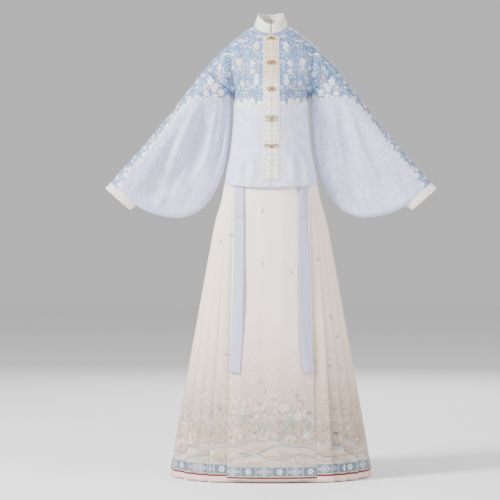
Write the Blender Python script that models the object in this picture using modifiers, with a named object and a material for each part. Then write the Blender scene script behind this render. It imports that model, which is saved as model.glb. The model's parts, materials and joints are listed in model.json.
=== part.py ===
"""Hanfu dress: a short stand-collar jacket with pipa sleeves over a long pleated horse-face skirt.

The set keeps the hollow form that it has when it is worn. Metres, +Z up, the front faces -Y, and
left and right are as seen from the front. The origin is the middle of the neck opening, level with
the shoulders, where the wearer's neck and shoulders hold the set up.
"""
import math
from collections import namedtuple

import bmesh
import bpy
import numpy as np

# Cloth and seams
SEAM_GAP = 0.0003
PLACKET_GAP = 0.0004
CUFF_GAP = 0.0010
JOIN_GAP = 0.0012
JACKET_WALL = 0.0012
COLLAR_WALL = 0.0016
CUFF_WALL = 0.0016
PLACKET_WALL = 0.0010
SKIRT_WALL = 0.0010
BAND_WALL = 0.0030
TIE_WALL = 0.0010

# Jacket
FRONT_SLIT = 0.0010
COLLAR_SLIT = 0.0040
PLACKET_WIDTH = 0.0232
PLACKET_TIP = 0.0015
PLACKET_NECK_GAP = 0.0020
PLACKET_FOOT = -0.478
COLLAR_RISE = 0.0010
COLLAR_RINGS = (0, .35, .7, 1)
COLLAR_BOW = 0.024
COLLAR_TOP_HALF_WIDTH = 0.0386
COLLAR_TOP_HALF_DEPTH = 0.050
COLLAR_TOP_SHIFT = 0.003
COLLAR_HEIGHT = 0.0240
COLLAR_BACK_RISE = 0.0195
COLLAR_SIDE_RISE = 0.0160
JOIN_TOP = (0.2060, -0.1300)
JOIN_FOOT = (0.1215, -0.2050)
JOIN_HALF_DEPTH = 0.048
JOIN_BLEND = 0.012
THROAT_BLEND = 0.006
NORMAL_STEPS = (0.004, 0.001)
WIDEST_SHARE = 0.45

# Skirt
SKIRT_TOP = -0.440
BAND_TOP = -0.375
SKIRT_HEM = -1.383
PANEL_HEM = -1.377
SKIRT_ROUNDNESS = 2.2
SKIRT_LEVELS = (SKIRT_TOP - SEAM_GAP, -.470, -.505, -.545, -.610, -.710, -.870, -1.050, -1.220)
PANEL_CLEARANCE = 0.0012
PANEL_SEAM_GAP = 0.0008
SIDE_FOLD_GAP = 0.0014
PLEAT_FACE = (0.55, 0.58)
LINE_STEP = 0.0015
PLEAT_SHARE_WAIST = (0.20, 0.40, 0.60, 0.80, 1.00)
PLEAT_SHARE_HEM = (0.178, 0.324, 0.502, 0.790, 1.00)
TIE_WIDTH = 0.029
TIE_TOP = -0.4475
TIE_FOLD = -0.590
TIE_END = -1.060
TIE_LIFT = 0.0010
TIE_GAP = 0.0009
TIE_FREE_DROP = 0.05
TIE_END_SLANT = 0.003
TIE_FLARE = 0.0025

# Mesh fineness
HALF_COLUMNS = 11
ROW_STEP = 0.042
NECK_ROW_STEP = 0.011
SLEEVE_AROUND = 26
SLEEVE_ROWS = 14
BAND_AROUND = 36
TIE_ROW_STEP = 0.045
SLEEVE_FIRST_SHARES = (0, .03, .07, .12)
LINE_SAMPLES = 400
LOOKUP_SAMPLES = 60

# One row of the jacket half runs from its inner edge (centre front, neckline or centre back) to its
# outer edge (side seam or sleeve join); reach and the lead are the row's two curve handles
JacketRow = namedtuple("JacketRow", "in_x in_y in_z reach reach_z out_x out_y out_z lead_x lead_y lead_z")
JACKET_ROWS = {
    "front_hem": JacketRow(0, -.1150, -.5000, .0950, .0000, .1430, .0000, -.4820, .0000, -.0780, -.0080),
    "front_hip": JacketRow(0, -.1090, -.4560, .0890, .0000, .1370, .0000, -.4460, .0000, -.0720, -.0040),
    "front_waist": JacketRow(0, -.1000, -.3990, .0770, .0000, .1275, .0000, -.3940, .0000, -.0610, -.0020),
    "front_ribs": JacketRow(0, -.0990, -.3240, .0655, .0000, .1190, .0000, -.3210, .0000, -.0545, .0000),
    "front_bust": JacketRow(0, -.1070, -.2560, .0640, .0000, .1160, .0000, -.2550, .0000, -.0580, .0000),
    "front_armpit": JacketRow(0, -.1055, -.2120, .0660, .0000, .1190, .0000, -.2110, -.0020, -.0500, .0040),
}
# Rows above the armpit end on the join with the sleeve, at an angle from its top, in degrees
UpperRow = namedtuple("UpperRow", "in_x in_y in_z reach reach_z join_angle lead lead_y")
UPPER_FRONT_ROWS = {
    "front_join": UpperRow(0, -.1010, -.1740, .0720, .0000, 157, .018, -.022),
    "front_chest": UpperRow(0, -.0930, -.1290, .0800, .0000, 121, .036, -.016),
    "front_yoke": UpperRow(0, -.0800, -.0780, .0760, .0000, 88, .044, -.008),
    "front_throat": UpperRow(0, -.0650, -.0290, .0640, -.0040, 60, .050, -.004),
    "front_neck": UpperRow(.0270, -.0540, -.0200, .0480, -.0100, 38, .054, .000),
    "front_nape": UpperRow(.0450, -.0300, -.0060, .0400, -.0130, 18, .056, .000),
}
SHOULDER_ROW = UpperRow(.0510, .0000, .0030, .0420, -.0160, 0, .058, .000)
UPPER_BACK_ROWS = {
    "back_nape": UpperRow(.0460, .0270, .0080, .0400, -.0130, 18, .056, .000),
    "back_neck": UpperRow(.0290, .0450, .0110, .0480, -.0080, 38, .054, .002),
    "back_throat": UpperRow(0, .0535, .0120, .0640, -.0030, 60, .050, .006),
    "back_yoke": UpperRow(0, .0760, -.0480, .0760, .0000, 88, .044, .012),
    "back_chest": UpperRow(0, .0930, -.1120, .0800, .0000, 121, .036, .018),
    "back_join": UpperRow(0, .0990, -.1700, .0720, .0000, 157, .018, .022),
}
BACK_DEPTHS = {"armpit": .0985, "bust": .0970, "ribs": .0955, "waist": .0995, "hip": .1100, "hem": .1170}

# Upper and lower outline of a sleeve from the join to the cuff
EdgePoint = namedtuple("EdgePoint", "x z")
SLEEVE_UPPER = (EdgePoint(*JOIN_TOP), EdgePoint(.2420, -.1780), EdgePoint(.3270, -.2880),
                EdgePoint(.4050, -.3820), EdgePoint(.4880, -.4760), EdgePoint(.4925, -.4820))
SLEEVE_LOWER = (EdgePoint(*JOIN_FOOT), EdgePoint(.1235, -.2300), EdgePoint(.1260, -.2720),
                EdgePoint(.1320, -.3560), EdgePoint(.1420, -.4220), EdgePoint(.1610, -.4830),
                EdgePoint(.1900, -.5360), EdgePoint(.2300, -.5720), EdgePoint(.2760, -.5890),
                EdgePoint(.3210, -.5870), EdgePoint(.3660, -.5760), EdgePoint(.4040, -.5590),
                EdgePoint(.4165, -.5520))
CUFF_UPPER = EdgePoint(.5105, -.4990)
CUFF_LOWER = EdgePoint(.4345, -.5660)

# Half thickness of the sleeve along its length: round over the arm, slack below it
SleeveRow = namedtuple("SleeveRow", "along arm arm_at hang fade round_end middle_y")
SLEEVE_DEPTHS = (
    SleeveRow(.00, .0480, .0565, .0480, .040, .0565, .000),
    SleeveRow(.08, .0470, .0540, .0330, .070, .0480, .000),
    SleeveRow(.20, .0440, .0470, .0200, .095, .0270, -.002),
    SleeveRow(.40, .0420, .0440, .0150, .110, .0190, -.006),
    SleeveRow(.60, .0390, .0410, .0140, .110, .0180, -.012),
    SleeveRow(.80, .0350, .0380, .0140, .090, .0180, -.019),
    SleeveRow(.92, .0290, .0400, .0190, .070, .0300, -.024),
    SleeveRow(1.0, .0230, .0510, .0230, .050, .0510, -.027),
)

# Soft folds, seen from the front: ridges have a positive rise and troughs a negative one
Fold = namedtuple("Fold", "start_x start_z end_x end_z width rise")
SLEEVE_FOLDS = (
    Fold(.218, -.212, .300, -.440, .0160, .0060),
    Fold(.205, -.235, .262, -.560, .0200, -.0065),
    Fold(.165, -.250, .205, -.500, .0190, .0060),
    Fold(.285, -.300, .372, -.545, .0180, -.0050),
    Fold(.330, -.350, .420, -.535, .0170, .0045),
    Fold(.140, -.270, .165, -.450, .0130, -.0050),
)
JACKET_FOLDS = (
    Fold(.128, -.062, .114, -.240, .0085, -.0065),
    Fold(.152, -.070, .136, -.185, .0100, .0040),
    Fold(.178, -.105, .150, -.190, .0090, -.0035),
    Fold(.096, -.300, .112, -.440, .0140, -.0035),
)

# Plan of the skirt at each height: half width and half depth of the inner line of its pleats, the
# height of a pleat over that line, how far each pleat lies back under the next, half a flat panel
SkirtRow = namedtuple("SkirtRow", "z half_width half_depth rise lap half_panel")
SKIRT_ROWS = (
    SkirtRow(-.375, .1110, .0860, .0036, .0075, .1040),
    SkirtRow(-.440, .1170, .0920, .0036, .0075, .1075),
    SkirtRow(-.482, .1368, .0970, .0055, .0095, .1105),
    SkirtRow(-.530, .1440, .1035, .0080, .0120, .1120),
    SkirtRow(-.600, .1610, .1140, .0105, .0145, .1135),
    SkirtRow(-.700, .1780, .1280, .0130, .0175, .1155),
    SkirtRow(-.850, .2020, .1500, .0160, .0205, .1185),
    SkirtRow(-1.03, .2320, .1760, .0190, .0235, .1225),
    SkirtRow(-1.21, .2620, .2030, .0215, .0260, .1270),
    SkirtRow(SKIRT_HEM, .2890, .2280, .0240, .0285, .1320),
)

# Ribbon ties: middle of the ribbon seen from the front, on the way down
TieRow = namedtuple("TieRow", "z x lift")
TIE_ROUTE = (TieRow(TIE_TOP, .0930, .0000), TieRow(-.500, .0925, .0006), TieRow(-.590, .0930, .0020),
             TieRow(-.700, .0940, .0030), TieRow(-.840, .0955, .0042), TieRow(-.960, .1000, .0036),
             TieRow(TIE_END, .1070, .0030))

# Metal clasps on the centre front: size, how their outline is lobed, gap to the band under them
ClaspRow = namedtuple("ClaspRow", "name z width height lobes lobe_depth lift")
CLASPS = (
    ClaspRow("clasp_1", -.0400, .030, .014, 6, .16, .0003),
    ClaspRow("clasp_2", -.1180, .032, .024, 6, .20, .0004),
    ClaspRow("clasp_3", -.2000, .032, .024, 6, .20, .0004),
    ClaspRow("clasp_4", -.2900, .040, .030, 4, .30, .0005),
    ClaspRow("clasp_5", -.3740, .042, .016, 4, .22, .0006),
)
# A clasp from its middle outward: share of its size, share of its lobes, height over its back
ClaspRing = namedtuple("ClaspRing", "share lobed height")
CLASP_RINGS = (ClaspRing(.16, 0, .0044), ClaspRing(.26, 0, .0032), ClaspRing(.34, .2, .0016),
               ClaspRing(.80, .9, .0022), ClaspRing(1.0, 1, .0010))
CLASP_BACK_SHARES = (.16, .58, 1.0)
CLASP_AROUND = 16

Finish = namedtuple("Finish", "colour roughness metallic")
FINISHES = {
    "ivory_brocade": Finish((0.80, 0.76, 0.69, 1), 0.60, 0),
    "lavender_damask": Finish((0.63, 0.66, 0.76, 1), 0.45, 0),
    "gilt_metal": Finish((0.62, 0.47, 0.24, 1), 0.35, 1),
    "cream_skirt_cloth": Finish((0.80, 0.72, 0.66, 1), 0.65, 0),
    "white_cotton": Finish((0.85, 0.85, 0.83, 1), 0.80, 0),
    "lavender_ribbon": Finish((0.55, 0.56, 0.70, 1), 0.50, 0),
}


def smooth_values(knots, values, at):
    """Values of a smooth curve through the knots, with no overshoot past the end knots."""
    knots, values = np.asarray(knots, float), np.asarray(values, float)
    at = np.clip(np.asarray(at, float), knots[0], knots[-1])
    slopes = np.gradient(values, knots, axis=0)
    first = np.clip(np.searchsorted(knots, at, side="right") - 1, 0, len(knots) - 2)
    step = knots[first + 1] - knots[first]
    t = (at - knots[first]) / step
    if values.ndim > 1:
        t, step = t[..., None], step[..., None]
    return ((1 + 2 * t) * (1 - t) ** 2 * values[first] + t * (1 - t) ** 2 * step * slopes[first]
            + t * t * (3 - 2 * t) * values[first + 1] + t * t * (t - 1) * step * slopes[first + 1])


def smoothstep(edge_0, edge_1, value):
    """Zero below the first edge, one above the second and an even ramp between them."""
    t = np.clip((value - edge_0) / (edge_1 - edge_0), 0, 1)
    return t * t * (3 - 2 * t)


def column(rows, name):
    """One named column of a table of rows."""
    return np.array([getattr(row, name) for row in rows], float)


def path_lengths(points):
    """Running length along a line of points."""
    return np.concatenate([[0], np.cumsum(np.linalg.norm(np.diff(points, axis=0), axis=1))])


def fold_rise(folds, x, z):
    """Sum of the soft folds' rise at a place seen from the front."""
    total = np.zeros(np.broadcast(x, z).shape)
    for fold in folds:
        run_x, run_z = fold.end_x - fold.start_x, fold.end_z - fold.start_z
        along = ((x - fold.start_x) * run_x + (z - fold.start_z) * run_z) / (run_x ** 2 + run_z ** 2)
        across = np.hypot(x - fold.start_x - along * run_x, z - fold.start_z - along * run_z)
        ends = smoothstep(-.10, .25, along) * (1 - smoothstep(.70, 1.12, along))
        total = total + fold.rise * ends * np.exp(-(across / fold.width) ** 2)
    return total


def join_frame():
    """Middle, radius to the top, arm direction and radius length of the ring where a sleeve joins."""
    top, foot = np.array([JOIN_TOP[0], 0, JOIN_TOP[1]]), np.array([JOIN_FOOT[0], 0, JOIN_FOOT[1]])
    middle, radius = (top + foot) / 2, (top - foot) / 2
    length = np.linalg.norm(radius)
    return middle, radius, np.array([-radius[2], 0, radius[0]]) / length * -1, length


def join_point(angle, side):
    """A point of the join ring, at an angle from its top, on the front (-1) or the back (+1)."""
    middle, radius, _, _ = join_frame()
    return middle + radius * math.cos(angle) + np.array([0, side * JOIN_HALF_DEPTH * math.sin(angle), 0])


def jacket_controls():
    """The four control points of every row of the jacket half, from front hem over to back hem."""
    _, _, arm, _ = join_frame()
    rows = []

    def upper(row, side):
        inner = np.array([row.in_x, row.in_y, row.in_z])
        outer = join_point(math.radians(row.join_angle), side)
        lead = np.array([0, row.lead_y, 0]) - arm * row.lead
        rows.append((inner, inner + [row.reach, 0, row.reach_z], outer + lead, outer))

    def lower(row):
        inner, outer = np.array([row.in_x, row.in_y, row.in_z]), np.array([row.out_x, row.out_y, row.out_z])
        rows.append((inner, inner + [row.reach, 0, row.reach_z], outer + [row.lead_x, row.lead_y, row.lead_z],
                     outer))

    for row in JACKET_ROWS.values():
        lower(row)
    for row in UPPER_FRONT_ROWS.values():
        upper(row, -1)
    upper(SHOULDER_ROW, -1)
    for row in UPPER_BACK_ROWS.values():
        upper(row, 1)
    for name, depth in BACK_DEPTHS.items():
        row = JACKET_ROWS["front_" + name]
        share = depth / abs(row.in_y)
        lower(row._replace(in_y=depth, lead_y=-row.lead_y * share))
    return np.array(rows)


class JacketHalf:
    """The right half of the jacket as a surface: front, shoulder, upper arm and back in one cloth."""

    def __init__(self):
        self.controls = jacket_controls()
        middles = self.controls.mean(axis=1)
        self.knots = path_lengths(middles)
        self.length = self.knots[-1]
        self.first_join = self.knots[len(JACKET_ROWS)]
        self.last_join = self.knots[len(JACKET_ROWS) + len(UPPER_FRONT_ROWS) + len(UPPER_BACK_ROWS)]

    def sheet(self, u, v):
        """Points at shares u across (inner to outer edge) and lengths v along (front to back hem)."""
        u, v = np.broadcast_arrays(np.asarray(u, float), np.asarray(v, float))
        c = smooth_values(self.knots, self.controls.reshape(len(self.knots), 12), v.ravel())
        c = c.reshape(v.shape + (4, 3))
        t = u[..., None]
        points = ((1 - t) ** 3 * c[..., 0, :] + 3 * t * (1 - t) ** 2 * c[..., 1, :]
                  + 3 * t * t * (1 - t) * c[..., 2, :] + t ** 3 * c[..., 3, :])
        return self.keep_off_sleeve(points, v)

    def keep_off_sleeve(self, points, v):
        """Points above the armpit stay on the body's side of the sleeve join."""
        middle, _, arm, _ = join_frame()
        past = np.maximum((points - middle) @ arm + SEAM_GAP / 2, 0)
        past = np.where((v > self.first_join - JOIN_BLEND) & (v < self.last_join + JOIN_BLEND), past, 0)
        return points - past[..., None] * arm

    def normals(self, u, v):
        """Outward unit normals of the plain sheet."""
        step_u, step_v = NORMAL_STEPS
        across = self.sheet(np.minimum(u + step_u, 1), v) - self.sheet(np.maximum(u - step_u, 0), v)
        along = (self.sheet(u, np.minimum(v + step_v, self.length))
                 - self.sheet(u, np.maximum(v - step_v, 0)))
        normal = np.cross(across, along)
        return normal / np.linalg.norm(normal, axis=-1, keepdims=True)

    def point(self, u, v, lift=0.0):
        """Points of the folded sheet, moved out by the lift."""
        points, normals = self.sheet(u, v), self.normals(u, v)
        inside = smoothstep(0, .12, u) * (1 - smoothstep(.93, 1, u))
        rise = fold_rise(JACKET_FOLDS, points[..., 0], points[..., 2]) * inside
        return points + normals * (rise + np.asarray(lift))[..., None]

    def share_at(self, x, v):
        """The share u at which the row at v is x metres from the middle."""
        shares = np.linspace(0, WIDEST_SHARE, LOOKUP_SAMPLES)
        return np.interp(x, self.sheet(shares, np.full(LOOKUP_SAMPLES, v))[:, 0], shares)

    def front_length_at(self, z):
        """The length v at which the centre front is at height z."""
        lengths = np.linspace(0, self.throat(), 2 * LOOKUP_SAMPLES)
        return np.interp(z, self.sheet(np.zeros(2 * LOOKUP_SAMPLES), lengths)[:, 2], lengths)

    def throat(self):
        """The length v of the row where the centre front meets the neckline."""
        return self.knots[len(JACKET_ROWS) + list(UPPER_FRONT_ROWS).index("front_throat")]

    def neck_end(self):
        """The length v of the row where the neckline meets the centre back."""
        names = list(UPPER_BACK_ROWS)
        return self.knots[len(JACKET_ROWS) + len(UPPER_FRONT_ROWS) + 1 + names.index("back_throat")]

    def placket_top(self):
        """The length v at which the neckline is a placket's width from the middle."""
        lengths = np.linspace(self.throat(), (self.throat() + self.neck_end()) / 2, LOOKUP_SAMPLES)
        return float(np.interp(PLACKET_WIDTH, self.sheet(np.zeros(LOOKUP_SAMPLES), lengths)[:, 0], lengths))

    def rows(self):
        """Lengths v of the half's rows, with one at each edge that another cloth is set to."""
        marks = (0, self.front_length_at(PLACKET_FOOT), self.first_join, self.throat(), self.placket_top(),
                 self.neck_end(), self.last_join, self.length)
        lengths = [0.0]
        for start, end in zip(marks, marks[1:]):
            step = NECK_ROW_STEP if self.throat() <= start < self.neck_end() else ROW_STEP
            lengths.extend(np.linspace(start, end, max(1, round((end - start) / step)) + 1)[1:])
        return np.array(lengths)

    def shares(self, v):
        """Shares u of one row's points: its inner edge, the placket's outer line, then even steps."""
        inner_x = float(self.sheet(np.array(0.0), np.array(v))[0])
        line = self.share_at(max(PLACKET_WIDTH, inner_x + PLACKET_TIP), v)
        return np.concatenate([[0], np.linspace(line, 1, HALF_COLUMNS - 1)])

    def placket_shares(self, v):
        """Shares u of the placket's two edges at a row, its inner edge clear of the collar."""
        inner_x = float(self.sheet(np.array(0.0), np.array(v))[0])
        first = inner_x + PLACKET_NECK_GAP if v > self.throat() - THROAT_BLEND else 0
        return [self.share_at(first, v), self.share_at(max(PLACKET_WIDTH, first + PLACKET_TIP), v)]

    def front_point(self, x, z, lift):
        """A point on the front near its middle, at x and height z, moved out by the lift."""
        v = self.front_length_at(z)
        place = self.point(np.array(self.share_at(abs(x), v)), np.array(v), lift)
        return place * [math.copysign(1, x), 1, 1]


def finish_material(name):
    """The Principled material of a finish, made once."""
    material = bpy.data.materials.get(name)
    if material is None:
        finish = FINISHES[name]
        material = bpy.data.materials.new(name)
        material.use_nodes = True
        shader = material.node_tree.nodes["Principled BSDF"]
        shader.inputs["Base Color"].default_value = finish.colour
        shader.inputs["Roughness"].default_value = finish.roughness
        shader.inputs["Metallic"].default_value = finish.metallic
    return material


def add_object(name, mesh, finish):
    """An object in the dress collection, with its own copy of a finish."""
    piece = bpy.data.objects.new(name, mesh)
    bpy.data.collections["hanfu_dress"].objects.link(piece)
    material = finish_material(finish).copy()
    material.name = name + "_" + finish
    mesh.materials.append(material)
    mesh.shade_smooth()
    mesh.set_sharp_from_angle(angle=math.radians(50))
    return piece


def grid_mesh(name, points, closed=False):
    """An open sheet of quads through a grid of points; closed joins its last column to its first."""
    rows, columns = points.shape[:2]
    mesh = bpy.data.meshes.new(name)
    bm = bmesh.new()
    verts = [[bm.verts.new(points[r, c]) for c in range(columns)] for r in range(rows)]
    for r in range(rows - 1):
        for c in range(columns if closed else columns - 1):
            after = (c + 1) % columns
            bm.faces.new((verts[r][c], verts[r][after], verts[r + 1][after], verts[r + 1][c]))
    bm.to_mesh(mesh)
    bm.free()
    return mesh


def cloth_object(name, points, wall, finish, closed=False):
    """A cloth wall around a sheet of points."""
    piece = add_object(name, grid_mesh(name, points, closed), finish)
    shell = piece.modifiers.new("cloth", "SOLIDIFY")
    shell.thickness = wall
    shell.offset = 0
    shell.use_even_offset = True
    return piece


def mirrored(points):
    """The same points on the left side, in the order that keeps their faces turned out."""
    return (points * [-1, 1, 1])[:, ::-1]


def both_sides(name, points, wall, finish, closed=False):
    """A cloth piece on the right and its mirror image on the left."""
    cloth_object(name + "_right", points, wall, finish, closed)
    cloth_object(name + "_left", mirrored(points), wall, finish, closed)


def spaced(first, last, count):
    """Evenly spaced values."""
    return np.linspace(first, last, count)


def jacket_points(half, lengths, lift):
    """Points of the right half at the given rows, moved out by the lift."""
    shares = np.array([half.shares(v) for v in lengths])
    points = half.point(shares, np.broadcast_to(lengths[:, None], shares.shape), lift)
    edge = np.where(lengths < half.length / 2, FRONT_SLIT / 2, SEAM_GAP / 2)
    points[..., 0] = np.maximum(points[..., 0], edge[:, None])
    return points


def build_jacket(half):
    """The two jacket halves, from the centre front over the shoulder to the centre back."""
    lengths = half.rows()
    points = jacket_points(half, lengths, 0)
    side_rows = (lengths < half.first_join - JOIN_BLEND) | (lengths > half.last_join + JOIN_BLEND)
    trim = np.where(side_rows, SEAM_GAP / 2, 0) * np.where(lengths < half.length / 2, -1, 1)
    points[:, -1, 1] += trim
    both_sides("jacket", points, JACKET_WALL, "lavender_damask")


def build_collar(half):
    """The stand collar: one band round the neckline, open at the centre front."""
    lengths = half.rows()
    lengths = lengths[(lengths >= half.throat() - 1e-6) & (lengths <= half.neck_end() + 1e-6)]
    foot = jacket_points(half, lengths, 0)[:, 0] + [0, 0, COLLAR_RISE]
    turn = path_lengths(foot) / path_lengths(foot)[-1] * math.pi
    top = np.stack([COLLAR_TOP_HALF_WIDTH * np.sin(turn),
                    -COLLAR_TOP_SHIFT - COLLAR_TOP_HALF_DEPTH * np.cos(turn),
                    COLLAR_HEIGHT - COLLAR_BACK_RISE * np.cos(turn) + COLLAR_SIDE_RISE * np.sin(turn) ** 2],
                   axis=-1)
    rows = []
    for rise in COLLAR_RINGS:
        ring = foot + (top - foot) * rise
        ring[:, 0] = np.maximum(ring[:, 0], 0)
        ring[:, :2] *= 1 + COLLAR_BOW * math.sin(math.pi * rise)
        ring[0, 0] = COLLAR_SLIT / 2
        rows.append(np.concatenate([mirrored(ring[None])[0][:-1], ring])[::-1])
    rows = np.array(rows)[:, ::-1]
    cloth_object("stand_collar", rows, COLLAR_WALL, "ivory_brocade")


def build_plackets(half):
    """The two front bands, on the fronts' surface from the neckline down to just over the hem."""
    offset = JACKET_WALL / 2 + PLACKET_GAP + PLACKET_WALL / 2
    lengths = half.rows()
    foot, top = half.front_length_at(PLACKET_FOOT), half.placket_top()
    lengths = lengths[(lengths >= foot - 1e-6) & (lengths <= top + 1e-6)]
    lengths = np.where(lengths >= half.throat() - 1e-6, lengths - PLACKET_NECK_GAP, lengths)
    shares = np.array([half.placket_shares(v) for v in lengths])
    points = half.point(shares, np.broadcast_to(lengths[:, None], shares.shape), offset)
    points[..., 0] = np.maximum(points[..., 0], FRONT_SLIT / 2)
    both_sides("placket", points, PLACKET_WALL, "ivory_brocade")


def build_clasps(half):
    """Five cast metal clasps, each bent to the fronts under it."""
    angles = spaced(0, 2 * math.pi, CLASP_AROUND + 1)[:-1]
    for clasp in CLASPS:
        base = JACKET_WALL / 2 + PLACKET_GAP + PLACKET_WALL + clasp.lift
        lobes = 1 - clasp.lobe_depth * (.5 + .5 * np.cos(clasp.lobes * angles + math.pi))
        rings = [(share, 1 + (lobes - 1) * share, 0.0) for share in CLASP_BACK_SHARES]
        rings += [(ring.share, 1 + (lobes - 1) * ring.lobed, ring.height) for ring in reversed(CLASP_RINGS)]
        mesh = bpy.data.meshes.new(clasp.name)
        bm = bmesh.new()
        loops = []
        for share, outline, height in rings:
            half_x = clasp.height / 2 + (clasp.width - clasp.height) / 2 * smoothstep(.34, 1, share)
            place = [half.front_point(half_x * share * r * math.cos(a),
                                      clasp.z + clasp.height / 2 * share * r * math.sin(a), base + height)
                     for a, r in zip(angles, outline)]
            loops.append([bm.verts.new(p) for p in place])
        for lower, upper in zip(loops, loops[1:]):
            for i in range(CLASP_AROUND):
                j = (i + 1) % CLASP_AROUND
                bm.faces.new((lower[i], lower[j], upper[j], upper[i]))
        bm.faces.new(loops[-1])
        bm.faces.new(loops[0][::-1])
        bmesh.ops.recalc_face_normals(bm, faces=bm.faces)
        bm.to_mesh(mesh)
        bm.free()
        add_object(clasp.name, mesh, "gilt_metal")


def edge_curve(points, share):
    """Points at shares of the length of a smooth edge in the plane of the sleeve."""
    knots = path_lengths(np.array(points))
    return smooth_values(knots, np.array(points), share * knots[-1])


def sleeve_half_depth(distance, length, row):
    """Half thickness of a sleeve at a distance from its upper edge."""
    arm = row.arm * np.sqrt(np.clip(1 - (1 - distance / row.arm_at) ** 2, 0, 1))
    slack = row.hang + (row.arm - row.hang) * (1 - smoothstep(0, row.fade, distance - row.arm_at))
    last = np.clip((distance - (length - row.round_end)) / row.round_end, 0, 1)
    return np.where(distance < row.arm_at, arm, slack) * np.sqrt(1 - last ** 2)


def sleeve_ring(share):
    """One ring of the right sleeve, from its upper edge down the front and up the back."""
    upper, lower = edge_curve(SLEEVE_UPPER, share), edge_curve(SLEEVE_LOWER, share)
    alongs = column(SLEEVE_DEPTHS, "along")
    values = {name: float(smooth_values(alongs, column(SLEEVE_DEPTHS, name), share))
              for name in SleeveRow._fields}
    row = SleeveRow(**values)
    length = np.linalg.norm(lower - upper)
    turn = spaced(0, 2 * math.pi, SLEEVE_AROUND + 1)[:-1]
    distance = (1 - np.cos(turn)) / 2 * length
    side = np.where(turn <= math.pi, -1, 1)
    plane = upper + (lower - upper) * (distance / length)[:, None]
    depth = sleeve_half_depth(distance, length, row)
    sway = -fold_rise(SLEEVE_FOLDS, plane[:, 0], plane[:, 1]) * smoothstep(0, .12, share)
    sway = sway * (1 - smoothstep(.9, 1, share)) * smoothstep(.03, .08, distance)
    sway = sway * smoothstep(0, .03, length - distance)
    return np.stack([plane[:, 0], row.middle_y + side * depth + sway, plane[:, 1]], axis=-1)


def build_sleeves():
    """The two pipa sleeves and their cuffs."""
    _, _, arm, _ = join_frame()
    shares = np.concatenate([SLEEVE_FIRST_SHARES[:-1], spaced(SLEEVE_FIRST_SHARES[-1], 1, SLEEVE_ROWS - 3)])
    rings = np.array([sleeve_ring(share) for share in shares])
    rings[0] += arm * JOIN_GAP
    both_sides("sleeve", rings, JACKET_WALL, "lavender_damask", closed=True)
    upper, lower = np.array(SLEEVE_UPPER[-1]), np.array(SLEEVE_LOWER[-1])
    out_upper, out_lower = np.array(CUFF_UPPER), np.array(CUFF_LOWER)
    turn = spaced(0, 2 * math.pi, SLEEVE_AROUND + 1)[:-1]
    drop = ((1 - np.cos(turn)) / 2)[:, None]
    end = SLEEVE_DEPTHS[-1]
    depth = end.middle_y - np.sin(turn) * end.arm
    seam, edge = upper + (lower - upper) * drop, out_upper + (out_lower - out_upper) * drop
    step = (edge - seam) / np.linalg.norm(edge - seam, axis=1, keepdims=True)
    rows = []
    for share in (0, 1):
        place = seam + step * CUFF_GAP + (edge - seam - step * CUFF_GAP) * share
        rows.append(np.stack([place[:, 0], depth, place[:, 1]], axis=-1))
    both_sides("cuff", np.array(rows), CUFF_WALL, "ivory_brocade", closed=True)


class SkirtPlan:
    """The skirt's plan at one height: the inner line of its pleats and what is measured from it."""

    def __init__(self, z):
        heights = -column(SKIRT_ROWS, "z")
        values = {name: float(smooth_values(heights, column(SKIRT_ROWS, name), -z))
                  for name in SkirtRow._fields}
        self.row = SkirtRow(**values)
        turn = spaced(0, math.pi / 2, LINE_SAMPLES)
        power = 2 / SKIRT_ROUNDNESS
        self.line = np.stack([self.row.half_width * np.sin(turn) ** power,
                              -self.row.half_depth * np.cos(turn) ** power], axis=-1)
        self.lengths = path_lengths(self.line)
        self.panel_edge = float(np.interp(self.row.half_panel, self.line[:, 0], self.lengths))
        self.quarter = self.lengths[-1] - self.panel_edge
        down = float(np.clip((SKIRT_TOP - z) / (SKIRT_TOP - SKIRT_HEM), 0, 1))
        self.shares = np.array(PLEAT_SHARE_WAIST) * (1 - down) + np.array(PLEAT_SHARE_HEM) * down

    def point(self, length, lift):
        """Points at lengths from the centre front along the inner line, moved out by the lift."""
        length = np.asarray(length, float)
        x, y = (np.interp(np.abs(length), self.lengths, self.line[:, i]) for i in (0, 1))
        before = np.maximum(np.abs(length) - LINE_STEP, 0)
        after = np.minimum(np.abs(length) + LINE_STEP, self.lengths[-1])
        run_x, run_y = (np.interp(after, self.lengths, self.line[:, i])
                        - np.interp(before, self.lengths, self.line[:, i]) for i in (0, 1))
        size = np.hypot(run_x, run_y)
        out_x, out_y = run_y / size, -run_x / size
        sign = np.where(length < 0, -1, 1)
        return np.stack([(x + out_x * lift) * sign, y + out_y * lift], axis=-1)

    def panel_lift(self):
        """How far out a flat panel lies, clear of the pleat that starts under its edge."""
        first = self.shares[0] * self.quarter
        return self.row.rise * self.row.lap / (first + self.row.lap) + SKIRT_WALL + PANEL_CLEARANCE

    def pleat_line(self):
        """Centre line of the pleated side, front to back, with the kind of each of its points."""
        row, start = self.row, self.panel_edge
        places = [(start - row.lap, 0, "end")]
        for number, share in enumerate(self.shares):
            crest = start + share * self.quarter
            if number == len(self.shares) - 1:
                crest -= SIDE_FOLD_GAP / 2 + SKIRT_WALL / 2
            valley = places[-1][0]
            share_on, share_out = PLEAT_FACE
            places.append((valley + share_on * (crest - valley), share_out * row.rise, "face"))
            places.append((crest, row.rise, "crest"))
            places.append((crest - row.lap, 0, "valley"))
        front = [(self.point(length, lift), kind) for length, lift, kind in places]
        back = [(point * [1, -1], kind) for point, kind in reversed(front)]
        return front + back


def unit(vector):
    """The vector at length one."""
    return vector / np.linalg.norm(vector)


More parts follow.
